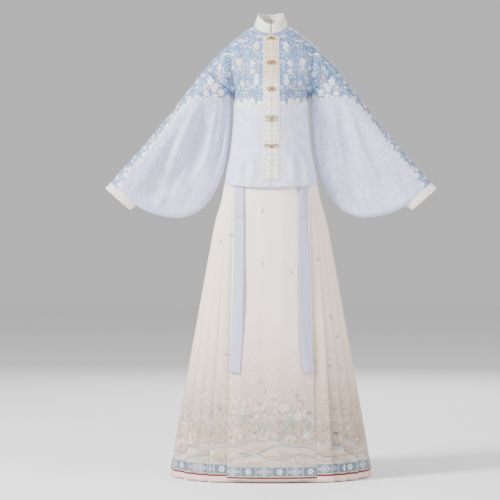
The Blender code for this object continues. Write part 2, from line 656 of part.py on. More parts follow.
def pleat_outline(line, wall):
    """The closed outline of a pleated wall around its centre line, folds rounded on their outside."""
    outer, inner = [], []
    for i, (point, kind) in enumerate(line):
        before = unit(point - line[i - 1][0]) if i else None
        after = unit(line[i + 1][0] - point) if i < len(line) - 1 else None
        before, after = (after, after) if before is None else (before, before if after is None else after)
        right_in, right_out = (np.array([d[1], -d[0]]) * wall / 2 for d in (before, after))
        if kind in ("end", "face"):
            aside = unit(right_in + right_out) * wall / 2
            outer.append(point + aside)
            inner.append(point - aside)
            continue
        tip = unit(before - after)
        half_angle = math.acos(np.clip(-before @ after, -1, 1)) / 2
        corner = point - tip * wall / 2 / math.sin(half_angle)
        sign = 1 if kind == "crest" else -1
        bend = [point + sign * right_in, point + tip * wall / 2, point + sign * right_out]
        (outer if kind == "crest" else inner).extend(bend)
        (inner if kind == "crest" else outer).append(corner)
    return np.array(outer + inner[::-1])


def loft_object(name, rings, finish):
    """A closed solid through flat rings of the same number of points."""
    mesh = bpy.data.meshes.new(name)
    bm = bmesh.new()
    loops = [[bm.verts.new(p) for p in ring] for ring in rings]
    count = len(loops[0])
    for lower, upper in zip(loops, loops[1:]):
        for i in range(count):
            j = (i + 1) % count
            bm.faces.new((lower[i], lower[j], upper[j], upper[i]))
    bm.faces.new(loops[0][::-1])
    bm.faces.new(loops[-1])
    bmesh.ops.recalc_face_normals(bm, faces=bm.faces)
    bm.to_mesh(mesh)
    bm.free()
    return add_object(name, mesh, finish)


def at_height(points, z):
    """Plan points set at a height."""
    return np.column_stack([points, np.full(len(points), z)])


def build_pleats():
    """The two pleated sides, ten knife pleats each, turned from both flat panels to the side line."""
    rings = np.array([at_height(pleat_outline(SkirtPlan(z).pleat_line(), SKIRT_WALL), z)
                      for z in (*SKIRT_LEVELS, SKIRT_HEM)])
    loft_object("pleats_right", rings, "cream_skirt_cloth")
    loft_object("pleats_left", rings * [-1, 1, 1], "cream_skirt_cloth")


def panel_points(hem, outer):
    """A flat panel of the front: the outer one over the pleats' start, the inner one beside it."""
    rows = []
    for z in (*SKIRT_LEVELS, hem):
        plan = SkirtPlan(z)
        half = plan.panel_edge if outer else plan.panel_edge - plan.row.lap - PANEL_SEAM_GAP
        lengths = spaced(-half, half, 11 if outer else 9)
        rows.append(at_height(plan.point(lengths, plan.panel_lift() if outer else 0), z))
    return np.array(rows)[::-1]


def build_panels():
    """The flat panels of the front and back: an outer and an inner one on each."""
    for name, outer, hem in (("outer", True, PANEL_HEM), ("inner", False, SKIRT_HEM)):
        points = panel_points(hem, outer)
        cloth_object("skirt_front_" + name, points, SKIRT_WALL, "cream_skirt_cloth")
        cloth_object("skirt_back_" + name, points[:, ::-1] * [1, -1, 1], SKIRT_WALL, "cream_skirt_cloth")


def build_waistband():
    """The skirt's waistband, a plain tube that all its cloths hang from."""
    rows = []
    for z in spaced(SKIRT_TOP, BAND_TOP, 3):
        plan = SkirtPlan(z)
        lengths = spaced(-plan.lengths[-1], plan.lengths[-1], BAND_AROUND // 2 + 1)
        middle = plan.panel_lift() + SKIRT_WALL / 2 - BAND_WALL / 2
        front = plan.point(lengths, middle)
        rows.append(at_height(np.concatenate([front, (front * [1, -1])[-2:0:-1]]), z))
    cloth_object("skirt_waistband", np.array(rows), BAND_WALL, "white_cotton", closed=True)


def tie_points(end, layer, taper):
    """A ribbon that hangs in front of the skirt's panel; layer counts outward from the skirt."""
    heights = -column(TIE_ROUTE, "z")
    rows = []
    for z in spaced(TIE_TOP, end, 4 + int((TIE_TOP - end) / TIE_ROW_STEP)):
        x, lift = (float(smooth_values(heights, column(TIE_ROUTE, name), -z)) for name in ("x", "lift"))
        plan = SkirtPlan(z)
        free = 1 - smoothstep(TIE_TOP - TIE_FREE_DROP, TIE_TOP, z)
        out = plan.panel_lift() + SKIRT_WALL / 2 + TIE_WALL / 2 + TIE_GAP + (TIE_LIFT + lift) * free
        out = out + layer * (TIE_WALL + TIE_GAP)
        middle = float(np.interp(x, plan.line[:, 0], plan.lengths))
        half = TIE_WIDTH / 2 + taper * smoothstep(TIE_TOP, end, z)
        rows.append(at_height(plan.point(spaced(middle - half, middle + half, 4), out), z))
    rows = np.array(rows)[::-1]
    rows[0, :, 2] += spaced(-TIE_END_SLANT, TIE_END_SLANT, 4) * (1 if layer == 0 else 0)
    return rows


def build_ties():
    """On each side a long ribbon, and the short fold of ribbon that lies on it."""
    both_sides("tie_long", tie_points(TIE_END, 0, TIE_FLARE), TIE_WALL, "lavender_ribbon")
    both_sides("tie_fold", tie_points(TIE_FOLD, 1, 0), TIE_WALL, "lavender_ribbon")


def main():
    """Clear the scene and build the dress."""
    for old in list(bpy.data.objects):
        bpy.data.objects.remove(old, do_unlink=True)
    collection = bpy.data.collections.new("hanfu_dress")
    bpy.context.scene.collection.children.link(collection)
    half = JacketHalf()
    build_jacket(half)
    build_collar(half)
    build_plackets(half)
    build_clasps(half)
    build_sleeves()
    build_waistband()
    build_panels()
    build_pleats()
    build_ties()


main()
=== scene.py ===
"""Looks of the hanfu dress: a short stand-collar jacket with pipa sleeves over a pleated horse-face skirt.

Metres, +Z up, the front faces -Y, and left and right are as seen from the front. Every cloth is a
chart: rows of places on the dress, measured in metres of flat cloth across and along, so that
weave, borders and needlework lie on it as they would on the cut cloth. The needlework is a generic
design of blossoms, leaf sprays, clouds and waves.
"""
import json
import logging
import math
from collections.abc import Iterable, Sequence
from dataclasses import dataclass, field
from enum import Enum
from typing import NamedTuple

import bpy
import numpy as np
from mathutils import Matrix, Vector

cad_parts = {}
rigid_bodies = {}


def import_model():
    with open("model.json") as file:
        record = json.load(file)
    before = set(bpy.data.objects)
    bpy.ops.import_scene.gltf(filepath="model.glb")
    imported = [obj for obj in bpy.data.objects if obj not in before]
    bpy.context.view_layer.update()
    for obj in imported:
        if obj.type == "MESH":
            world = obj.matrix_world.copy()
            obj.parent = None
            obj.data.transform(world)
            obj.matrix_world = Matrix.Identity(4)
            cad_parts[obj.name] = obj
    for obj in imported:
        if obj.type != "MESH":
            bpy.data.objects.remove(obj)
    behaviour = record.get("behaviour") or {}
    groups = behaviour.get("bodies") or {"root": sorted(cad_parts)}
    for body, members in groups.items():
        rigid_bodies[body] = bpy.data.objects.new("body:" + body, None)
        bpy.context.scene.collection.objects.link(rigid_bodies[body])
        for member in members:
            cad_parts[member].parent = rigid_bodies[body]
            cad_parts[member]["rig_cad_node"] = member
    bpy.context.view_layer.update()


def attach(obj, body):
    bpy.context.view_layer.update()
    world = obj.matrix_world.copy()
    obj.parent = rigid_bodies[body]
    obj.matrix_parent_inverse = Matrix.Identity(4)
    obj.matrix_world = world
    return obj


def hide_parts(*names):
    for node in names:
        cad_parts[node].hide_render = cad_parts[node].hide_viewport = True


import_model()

LOG = logging.getLogger("hanfu_dress")
BODY = "root"
CLOTH_UV = "cloth"

Colour = tuple[float, float, float, float]
Place = tuple[float, float]
Socket = bpy.types.NodeSocket
MM = .001
STITCH_LIFT = .0001
PIPING_RADIUS = .0009
TAU = 2 * math.pi


class Side(Enum):
    """The two mirrored sides of the dress, as seen from the front."""

    RIGHT = 1
    LEFT = -1

    @property
    def word(self) -> str:
        """The side's name as the pieces' names end."""
        return self.name.lower()


class Held(Enum):
    """How a cloth is held up."""

    HUNG = "hung"
    FOLDED = "folded"
    STRETCHED = "stretched"


class JacketRow(NamedTuple):
    """A row of the jacket half below the armpit: its two ends and the handles of its curve."""

    in_x: float
    in_y: float
    in_z: float
    reach: float
    reach_z: float
    out_x: float
    out_y: float
    out_z: float
    lead_x: float
    lead_y: float
    lead_z: float


class UpperRow(NamedTuple):
    """A row above the armpit, which ends on the sleeve's join at an angle from its top, in degrees."""

    in_x: float
    in_y: float
    in_z: float
    reach: float
    reach_z: float
    join_angle: float
    lead: float
    lead_y: float


class EdgePoint(NamedTuple):
    """A place on the outline of a sleeve."""

    x: float
    z: float


class SleeveRow(NamedTuple):
    """Half thickness of the sleeve at a share of its length: round over the arm, slack below it."""

    along: float
    arm: float
    arm_at: float
    hang: float
    fade: float
    round_end: float
    middle_y: float


class SkirtRow(NamedTuple):
    """Plan of the skirt at a height: its inner line, its pleats and half of a flat panel."""

    z: float
    half_width: float
    half_depth: float
    rise: float
    lap: float
    half_panel: float


class TieRow(NamedTuple):
    """Middle of a ribbon tie at a height, and how far it hangs off the skirt."""

    z: float
    x: float
    lift: float


class Crease(NamedTuple):
    """A soft fold seen from the front: its path of x and z, its half width and its rise."""

    path: tuple[Place, ...]
    width: float
    rise: float


class Figure(NamedTuple):
    """A figure of needlework: where it lies, how big it is and how it is turned."""

    across: float
    along: float
    size: float
    turn: float = 0.0


class Pattern(Enum):
    """Strokes on the right side of a clasp, in millimetres from its middle."""

    SCROLL = (
        ((4.4, .4), (7.0, 2.6), (10.4, 3.6), (13.0, 2.0), (13.3, -.6), (11.4, -1.9), (9.7, -.8), (10.3, .7)),
        ((4.2, -1.5), (7.0, -3.9), (10.0, -4.5), (12.8, -3.4)),
        ((3.0, 3.4), (4.4, 6.0), (6.6, 6.7), (7.8, 5.4), (6.8, 4.5)),
        ((3.0, -3.4), (4.2, -6.4), (6.4, -7.2), (7.4, -6.0)),
    )
    NARROW = (
        ((4.2, .2), (7.0, 1.9), (10.4, 2.6), (13.0, 1.2), (13.2, -.9), (11.2, -1.8), (9.8, -.7)),
        ((4.0, -1.3), (7.0, -3.4), (10.6, -4.0), (12.6, -3.2)),
    )
    ANTLER = (
        ((4.2, .6), (9.0, 2.6), (14.0, 3.8), (17.6, 8.0), (18.4, 13.4)),
        ((9.0, 2.8), (10.4, 7.6), (8.6, 12.4)),
        ((13.6, 3.8), (16.0, .4), (19.0, -1.4)),
        ((4.0, -2.0), (8.0, -6.0), (12.4, -7.2), (15.6, -5.0), (14.6, -3.2), (12.8, -4.2)),
        ((2.6, 3.6), (4.2, 8.2), (2.6, 12.8)),
        ((2.4, -3.8), (3.6, -8.6), (1.6, -13.4)),
    )
    CRESCENT = (
        ((3.6, 1.0), (8.0, 5.6), (15.0, 6.6), (20.0, 3.2), (20.6, -1.2), (16.4, -3.6), (10.4, -3.0),
         (5.6, -5.4), (3.2, -2.0)),
        ((5.0, .2), (10.0, 2.6), (15.0, 2.2), (17.4, .2)),
    )


# Outline of the sleeve's join with the jacket
JOIN_TOP = (0.2060, -0.1300)
JOIN_FOOT = (0.1215, -0.2050)
JOIN_HALF_DEPTH = 0.048

# Heights of the skirt and its ribbon ties
SKIRT_HEM = -1.383
TIE_TOP = -0.4475
TIE_END = -1.060

# Rows of the jacket half from the front hem over the shoulder to the back hem, each from its inner
# edge (centre front, neckline or centre back) to its outer edge (side seam or sleeve join)
JACKET_ROWS = {
    "front_hem": JacketRow(0, -.1150, -.5000, .0950, .0000, .1430, .0000, -.4820, .0000, -.0780, -.0080),
    "front_hip": JacketRow(0, -.1090, -.4560, .0890, .0000, .1370, .0000, -.4460, .0000, -.0720, -.0040),
    "front_waist": JacketRow(0, -.1000, -.3990, .0770, .0000, .1275, .0000, -.3940, .0000, -.0610, -.0020),
    "front_ribs": JacketRow(0, -.0990, -.3240, .0655, .0000, .1190, .0000, -.3210, .0000, -.0545, .0000),
    "front_bust": JacketRow(0, -.1070, -.2560, .0640, .0000, .1160, .0000, -.2550, .0000, -.0580, .0000),
    "front_armpit": JacketRow(0, -.1055, -.2120, .0660, .0000, .1190, .0000, -.2110, -.0020, -.0500, .0040),
}
# Rows above the armpit end on the join with the sleeve
UPPER_FRONT_ROWS = {
    "front_join": UpperRow(0, -.1010, -.1740, .0720, .0000, 157, .018, -.022),
    "front_chest": UpperRow(0, -.0930, -.1290, .0800, .0000, 121, .036, -.016),
    "front_yoke": UpperRow(0, -.0800, -.0780, .0760, .0000, 88, .044, -.008),
    "front_throat": UpperRow(0, -.0650, -.0290, .0640, -.0040, 60, .050, -.004),
    "front_neck": UpperRow(.0270, -.0540, -.0200, .0480, -.0100, 38, .054, .000),
    "front_nape": UpperRow(.0450, -.0300, -.0060, .0400, -.0130, 18, .056, .000),
}
SHOULDER_ROW = UpperRow(.0510, .0000, .0030, .0420, -.0160, 0, .058, .000)
UPPER_BACK_ROWS = {
    "back_nape": UpperRow(.0460, .0270, .0080, .0400, -.0130, 18, .056, .000),
    "back_neck": UpperRow(.0290, .0450, .0110, .0480, -.0080, 38, .054, .002),
    "back_throat": UpperRow(0, .0535, .0120, .0640, -.0030, 60, .050, .006),
    "back_yoke": UpperRow(0, .0760, -.0480, .0760, .0000, 88, .044, .012),
    "back_chest": UpperRow(0, .0930, -.1120, .0800, .0000, 121, .036, .018),
    "back_join": UpperRow(0, .0990, -.1700, .0720, .0000, 157, .018, .022),
}
BACK_DEPTHS = {"armpit": .0985, "bust": .0970, "ribs": .0955, "waist": .0995, "hip": .1100, "hem": .1170}

# Upper and lower outline of a sleeve, from the join to the cuff's end
SLEEVE_UPPER = (EdgePoint(*JOIN_TOP), EdgePoint(.2420, -.1780), EdgePoint(.3270, -.2880),
                EdgePoint(.4050, -.3820), EdgePoint(.4880, -.4760), EdgePoint(.4925, -.4820))
SLEEVE_LOWER = (EdgePoint(*JOIN_FOOT), EdgePoint(.1235, -.2300), EdgePoint(.1260, -.2720),
                EdgePoint(.1320, -.3560), EdgePoint(.1420, -.4220), EdgePoint(.1610, -.4830),
                EdgePoint(.1900, -.5360), EdgePoint(.2300, -.5720), EdgePoint(.2760, -.5890),
                EdgePoint(.3210, -.5870), EdgePoint(.3660, -.5760), EdgePoint(.4040, -.5590),
                EdgePoint(.4165, -.5520))
CUFF_UPPER = EdgePoint(.5105, -.4990)
CUFF_LOWER = EdgePoint(.4345, -.5660)

# Depths of the sleeve along its length
SLEEVE_DEPTHS = (
    SleeveRow(.00, .0480, .0565, .0480, .040, .0565, .000),
    SleeveRow(.08, .0470, .0540, .0330, .070, .0480, .000),
    SleeveRow(.20, .0440, .0470, .0200, .095, .0270, -.002),
    SleeveRow(.40, .0420, .0440, .0150, .110, .0190, -.006),
    SleeveRow(.60, .0390, .0410, .0140, .110, .0180, -.012),
    SleeveRow(.80, .0350, .0380, .0140, .090, .0180, -.019),
    SleeveRow(.92, .0290, .0400, .0190, .070, .0300, -.024),
    SleeveRow(1.0, .0230, .0510, .0230, .050, .0510, -.027),
)

# Plan of the skirt, from the waist to the hem
SKIRT_ROWS = (
    SkirtRow(-.375, .1110, .0860, .0036, .0075, .1040),
    SkirtRow(-.440, .1170, .0920, .0036, .0075, .1075),
    SkirtRow(-.482, .1368, .0970, .0055, .0095, .1105),
    SkirtRow(-.530, .1440, .1035, .0080, .0120, .1120),
    SkirtRow(-.600, .1610, .1140, .0105, .0145, .1135),
    SkirtRow(-.700, .1780, .1280, .0130, .0175, .1155),
    SkirtRow(-.850, .2020, .1500, .0160, .0205, .1185),
    SkirtRow(-1.03, .2320, .1760, .0190, .0235, .1225),
    SkirtRow(-1.21, .2620, .2030, .0215, .0260, .1270),
    SkirtRow(SKIRT_HEM, .2890, .2280, .0240, .0285, .1320),
)

# Ribbon ties, on the way down
TIE_ROUTE = (TieRow(TIE_TOP, .0930, .0000), TieRow(-.500, .0925, .0006), TieRow(-.590, .0930, .0020),
             TieRow(-.700, .0940, .0030), TieRow(-.840, .0955, .0042), TieRow(-.960, .1000, .0036),
             TieRow(TIE_END, .1070, .0030))

# Main folds of the solid sleeves and jacket, seen from the front
SLEEVE_MAIN = (
    Crease(((.218, -.212), (.300, -.440)), .0160, .0060),
    Crease(((.205, -.235), (.262, -.560)), .0200, -.0065),
    Crease(((.165, -.250), (.205, -.500)), .0190, .0060),
    Crease(((.285, -.300), (.372, -.545)), .0180, -.0050),
    Crease(((.330, -.350), (.420, -.535)), .0170, .0045),
    Crease(((.140, -.270), (.165, -.450)), .0130, -.0050),
)
JACKET_MAIN = (
    Crease(((.128, -.062), (.114, -.240)), .0085, -.0065),
    Crease(((.152, -.070), (.136, -.185)), .0100, .0040),
    Crease(((.178, -.105), (.150, -.190)), .0090, -.0035),
    Crease(((.096, -.300), (.112, -.440)), .0140, -.0035),
)
# Finer folds, on the front of each side and on the hidden backs
SLEEVE_FINE = {
    Side.RIGHT: (
        Crease(((.2347, -.226), (.2697, -.3596), (.3379, -.499)), .0080, .0036),
        Crease(((.1860, -.226), (.2139, -.372), (.232, -.450)), .0085, .0034),
        Crease(((.2120, -.228), (.2420, -.370), (.290, -.500)), .0070, -.0032),
        Crease(((.1600, -.235), (.1760, -.360), (.190, -.470)), .0065, -.0030),
        Crease(((.3000, -.330), (.3450, -.430), (.372, -.500)), .0085, .0026),
        Crease(((.1400, -.225), (.1450, -.330)), .0060, .0024),
        Crease(((.2500, -.480), (.2800, -.560)), .0120, -.0026),
        Crease(((.3900, -.440), (.4250, -.520)), .0080, -.0024),
    ),
    Side.LEFT: (
        Crease(((.2200, -.217), (.2880, -.381), (.3286, -.490)), .0085, .0038),
        Crease(((.1640, -.2356), (.2015, -.412), (.282, -.536)), .0080, .0036),
        Crease(((.2046, -.2325), (.2450, -.381), (.335, -.552)), .0075, -.0036),
        Crease(((.1330, -.2325), (.1580, -.4216)), .0075, -.0030),
        Crease(((.2600, -.270), (.3250, -.400), (.372, -.470)), .0080, -.0026),
        Crease(((.1480, -.240), (.1700, -.400)), .0060, .0026),
        Crease(((.3100, -.500), (.3500, -.560)), .0110, .0024),
        Crease(((.3960, -.430), (.4200, -.500)), .0080, .0022),
    ),
}
SLEEVE_BACK = (
    Crease(((.2250, -.220), (.2750, -.390), (.330, -.520)), .0090, .0036),
    Crease(((.1900, -.230), (.2250, -.420)), .0080, -.0034),
    Crease(((.1600, -.240), (.1900, -.440)), .0080, .0032),
    Crease(((.3050, -.330), (.3700, -.480)), .0090, -.0028),
    Crease(((.2400, -.430), (.2700, -.560)), .0110, .0026),
)
JACKET_FINE = {
    Side.RIGHT: (
        Crease(((.1395, -.0496), (.1220, -.130), (.1147, -.220)), .0050, -.0022),
        Crease(((.1010, -.070), (.1040, -.160)), .0110, .0022),
        Crease(((.1830, -.100), (.1750, -.160)), .0050, .0020),
        Crease(((.1130, -.222), (.0720, -.262)), .0075, .0024),
        Crease(((.1140, -.244), (.0700, -.300)), .0080, -.0022),
        Crease(((.0500, -.336), (.1080, -.350)), .0085, .0020),
        Crease(((.0460, -.374), (.1120, -.366)), .0085, -.0022),
        Crease(((.0620, -.400), (.0680, -.498)), .0120, .0030),
        Crease(((.0960, -.392), (.1140, -.498)), .0100, .0030),
        Crease(((.0800, -.412), (.0900, -.498)), .0090, -.0028),
        Crease(((.0440, -.060), (.0800, -.104)), .0120, .0016),
    ),
    Side.LEFT: (
        Crease(((.1210, -.0590), (.1190, -.130), (.1180, -.205)), .0055, -.0024),
        Crease(((.0960, -.064), (.1000, -.150)), .0110, .0024),
        Crease(((.1640, -.090), (.1560, -.150)), .0055, .0020),
        Crease(((.1140, -.230), (.0800, -.266)), .0080, .0022),
        Crease(((.1120, -.262), (.0640, -.312)), .0090, -.0024),
        Crease(((.0560, -.346), (.1100, -.338)), .0080, .0020),
        Crease(((.0440, -.384), (.1060, -.378)), .0090, -.0020),
        Crease(((.0560, -.392), (.0600, -.498)), .0130, .0028),
        Crease(((.0900, -.404), (.1020, -.498)), .0110, .0032),
        Crease(((.0740, -.420), (.0820, -.498)), .0090, -.0026),
        Crease(((.0400, -.052), (.0720, -.092)), .0120, .0014),
    ),
}
JACKET_BACK = (
    Crease(((.1180, -.080), (.1140, -.220)), .0060, -.0026),
    Crease(((.0920, -.070), (.0980, -.180)), .0120, .0026),
    Crease(((.1100, -.230), (.0600, -.290)), .0090, .0024),
    Crease(((.0300, -.340), (.1060, -.352)), .0100, .0022),
    Crease(((.0300, -.384), (.1100, -.376)), .0100, -.0022),
    Crease(((.0540, -.400), (.0600, -.498)), .0120, .0030),
    Crease(((.0940, -.400), (.1060, -.498)), .0110, -.0030),
)
PANEL_CREASES = (
    Crease(((.0300, -.520), (.0360, -.980)), .0170, .0022),
    Crease(((-.0450, -.500), (-.0520, -.840)), .0160, -.0020),
    Crease(((.0700, -.640), (.0800, -1.240)), .0180, .0020),
    Crease(((-.0200, -.780), (-.0260, -1.360)), .0200, -.0022),
    Crease(((-.0820, -.900), (-.0960, -1.370)), .0160, .0024),
    Crease(((.0100, -1.050), (.0160, -1.370)), .0180, .0020),
)

# Needlework over the yoke, at x and a height, alike front and back
YOKE_BLOSSOMS = (
    Figure(.045, -.062, .0115, .3), Figure(.086, -.050, .0125, 1.1), Figure(.058, -.118, .0120, .7),
    Figure(.096, -.112, .0130, 2.0), Figure(.047, -.176, .0125, .1), Figure(.088, -.182, .0115, 1.5),
    Figure(.140, -.086, .0120, .9), Figure(.160, -.132, .0125, .4), Figure(.128, -.150, .0105, 2.4),
)
YOKE_SPRAYS = (
    Figure(.036, -.092, .034, .5), Figure(.066, -.088, .030, 2.4), Figure(.100, -.084, .032, -.6),
    Figure(.036, -.150, .032, 1.2), Figure(.072, -.150, .034, .2), Figure(.104, -.150, .030, 1.9),
    Figure(.060, -.206, .030, .6), Figure(.094, -.212, .028, 2.6), Figure(.150, -.108, .030, 2.2),
)
YOKE_CLOUDS = (
    Figure(.052, -.196, .0120, .2), Figure(.078, -.066, .0110, -.3), Figure(.100, -.192, .0105, 2.9),
)
YOKE_RED_CLOUDS = (
    Figure(.052, -.226, .0125, .1), Figure(.092, -.222, .0115, .3), Figure(.112, -.160, .0100, 2.8),
)
# Needlework on the sleeves, at x and a height: on the shoulder, and low on the bag
SHOULDER_BLOSSOMS = (
    Figure(.188, -.172, .0130, .4), Figure(.176, -.196, .0110, 1.7), Figure(.200, -.206, .0110, 2.4),
    Figure(.155, -.206, .0120, .2),
)
BAG_BLOSSOMS = (
    Figure(.300, -.520, .019), Figure(.345, -.480, .016), Figure(.262, -.560, .014),
    Figure(.352, -.548, .015), Figure(.390, -.500, .014), Figure(.240, -.480, .013),
)
# Needlework on the skirt's flat panels, at a flat width and a height over the hem
PANEL_BLOSSOMS = (
    Figure(-.082, .205, .0140, .3), Figure(-.052, .238, .0120, 1.2), Figure(-.020, .176, .0135, 2.0),
    Figure(.034, .214, .0150, .8), Figure(.080, .188, .0130, .1), Figure(.062, .262, .0110, 1.6),
    Figure(-.104, .142, .0125, 2.6), Figure(.106, .136, .0120, .5), Figure(.008, .132, .0110, 1.1),
)
PANEL_SPRAYS = (
    Figure(-.098, .150, .080, 1.35), Figure(-.062, .136, .070, .9), Figure(-.030, .128, .090, 1.5),
    Figure(.022, .128, .078, 1.1), Figure(.058, .130, .086, 1.7), Figure(.092, .128, .064, 1.2),
)
PANEL_RED_CLOUDS = (
    Figure(-.070, .186, .0130, .1), Figure(.060, .160, .0140, -.2), Figure(.110, .196, .0090, .1),
)
PANEL_BLUE_CLOUDS = (Figure(.004, .236, .0150, .2),)
PANEL_GREY_CLOUDS = (Figure(-.034, .288, .0120, .1), Figure(.088, .232, .0120, .3))


def smooth_values(knots: Sequence[float], values: np.ndarray, at: np.ndarray | float) -> np.ndarray:
    """A smooth curve through knots.

    Args:
        knots: Rising positions of the known values.
        values: The known values, a row for each knot.
        at: Positions at which values are wanted.

    Returns:
        The values there, with no overshoot past the end knots.
    """
    knots, values = np.asarray(knots, float), np.asarray(values, float)
    at = np.clip(np.asarray(at, float), knots[0], knots[-1])
    slopes = np.gradient(values, knots, axis=0)
    first = np.clip(np.searchsorted(knots, at, side="right") - 1, 0, len(knots) - 2)
    step = knots[first + 1] - knots[first]
    t = (at - knots[first]) / step
    if values.ndim > 1:
        t, step = t[..., None], step[..., None]
    return ((1 + 2 * t) * (1 - t) ** 2 * values[first] + t * (1 - t) ** 2 * step * slopes[first]
            + t * t * (3 - 2 * t) * values[first + 1] + t * t * (t - 1) * step * slopes[first + 1])


def smoothstep(edge_0: float, edge_1: float, value: np.ndarray | float) -> np.ndarray:
    """An even ramp from zero at the first edge to one at the second."""
    t = np.clip((np.asarray(value, float) - edge_0) / (edge_1 - edge_0), 0, 1)
    return t * t * (3 - 2 * t)


def column(rows: Sequence[NamedTuple], name: str) -> np.ndarray:
    """One named column of a table of rows."""
    return np.array([getattr(row, name) for row in rows], float)


def path_lengths(points: np.ndarray) -> np.ndarray:
    """Running length along a line of points."""
    return np.concatenate([[0], np.cumsum(np.linalg.norm(np.diff(points, axis=0), axis=1))])


def crease_rise(creases: Iterable[Crease], x: np.ndarray, z: np.ndarray) -> np.ndarray:
    """Height of soft folds.

    Args:
        creases: The folds.
        x: Places across, seen from the front.
        z: Heights of the places.

    Returns:
        The sum of the folds' rises at each place.
    """
    total = np.zeros(np.broadcast(x, z).shape)
    for crease in creases:
        path = np.array(crease.path)
        steps = np.diff(path, axis=0)
        lengths = np.hypot(steps[:, 0], steps[:, 1])
        starts = np.concatenate([[0], np.cumsum(lengths)])
        nearest = np.full(total.shape, np.inf)
        along = np.zeros(total.shape)
        for i, (place, step) in enumerate(zip(path, steps)):
            t = ((x - place[0]) * step[0] + (z - place[1]) * step[1]) / lengths[i] ** 2
            t = np.clip(t, -np.inf if i == 0 else 0, np.inf if i == len(steps) - 1 else 1)
            across = np.hypot(x - place[0] - t * step[0], z - place[1] - t * step[1])
            along = np.where(across < nearest, starts[i] + t * lengths[i], along)
            nearest = np.minimum(across, nearest)
        share = along / starts[-1]
        ends = smoothstep(-.10, .25, share) * (1 - smoothstep(.70, 1.12, share))
        total += crease.rise * ends * np.exp(-(nearest / crease.width) ** 2)
    return total


def headings(angles: np.ndarray | float) -> np.ndarray:
    """Unit vectors at angles from a plane's first axis."""
    return np.stack([np.cos(angles), np.sin(angles)], axis=-1)


def turned(points: np.ndarray, turn: float) -> np.ndarray:
    """Flat places turned about their origin."""
    ahead, aside = headings(turn), headings(turn + math.pi / 2)
    return points[:, :1] * ahead + points[:, 1:] * aside


def tone(code: str) -> Colour:
    """The linear colour of an sRGB code.

    Args:
        code: Its six digits.

    Returns:
        The colour, opaque.
    """
    shares = [int(code[i:i + 2], 16) / 255 for i in (0, 2, 4)]
    red, green, blue = (s / 12.92 if s <= .04045 else ((s + .055) / 1.055) ** 2.4 for s in shares)
    return red, green, blue, 1.0


def add_object(name: str, data: bpy.types.ID) -> bpy.types.Object:
    """Puts an object into the scene.

    Args:
        name: Its name.
        data: Its mesh, curve, light or camera.

    Returns:
        The object.
    """
    made = bpy.data.objects.new(name, data)
    bpy.context.scene.collection.objects.link(made)
    return made


def add_node(tree: bpy.types.NodeTree, kind: str, inputs: dict, **settings: object) -> bpy.types.Node:
    """Adds a node to a tree.

    Args:
        tree: The tree.
        kind: The node's type.
        inputs: A value, or a socket to link, for each input by name or number.
        **settings: The node's own settings.

    Returns:
        The node.
    """
    node = tree.nodes.new(kind)
    for key, value in settings.items():
        setattr(node, key, value)
    for key, value in inputs.items():
        feed(tree, node.inputs[key], value)
    return node


def feed(tree: bpy.types.NodeTree, socket: Socket, value: object) -> None:
    """Links or sets a socket.

    Args:
        tree: The tree that it is in.
        socket: The socket.
        value: Its value, or a socket to link.
    """
    if isinstance(value, Socket):
        tree.links.new(value, socket)
    else:
        socket.default_value = value


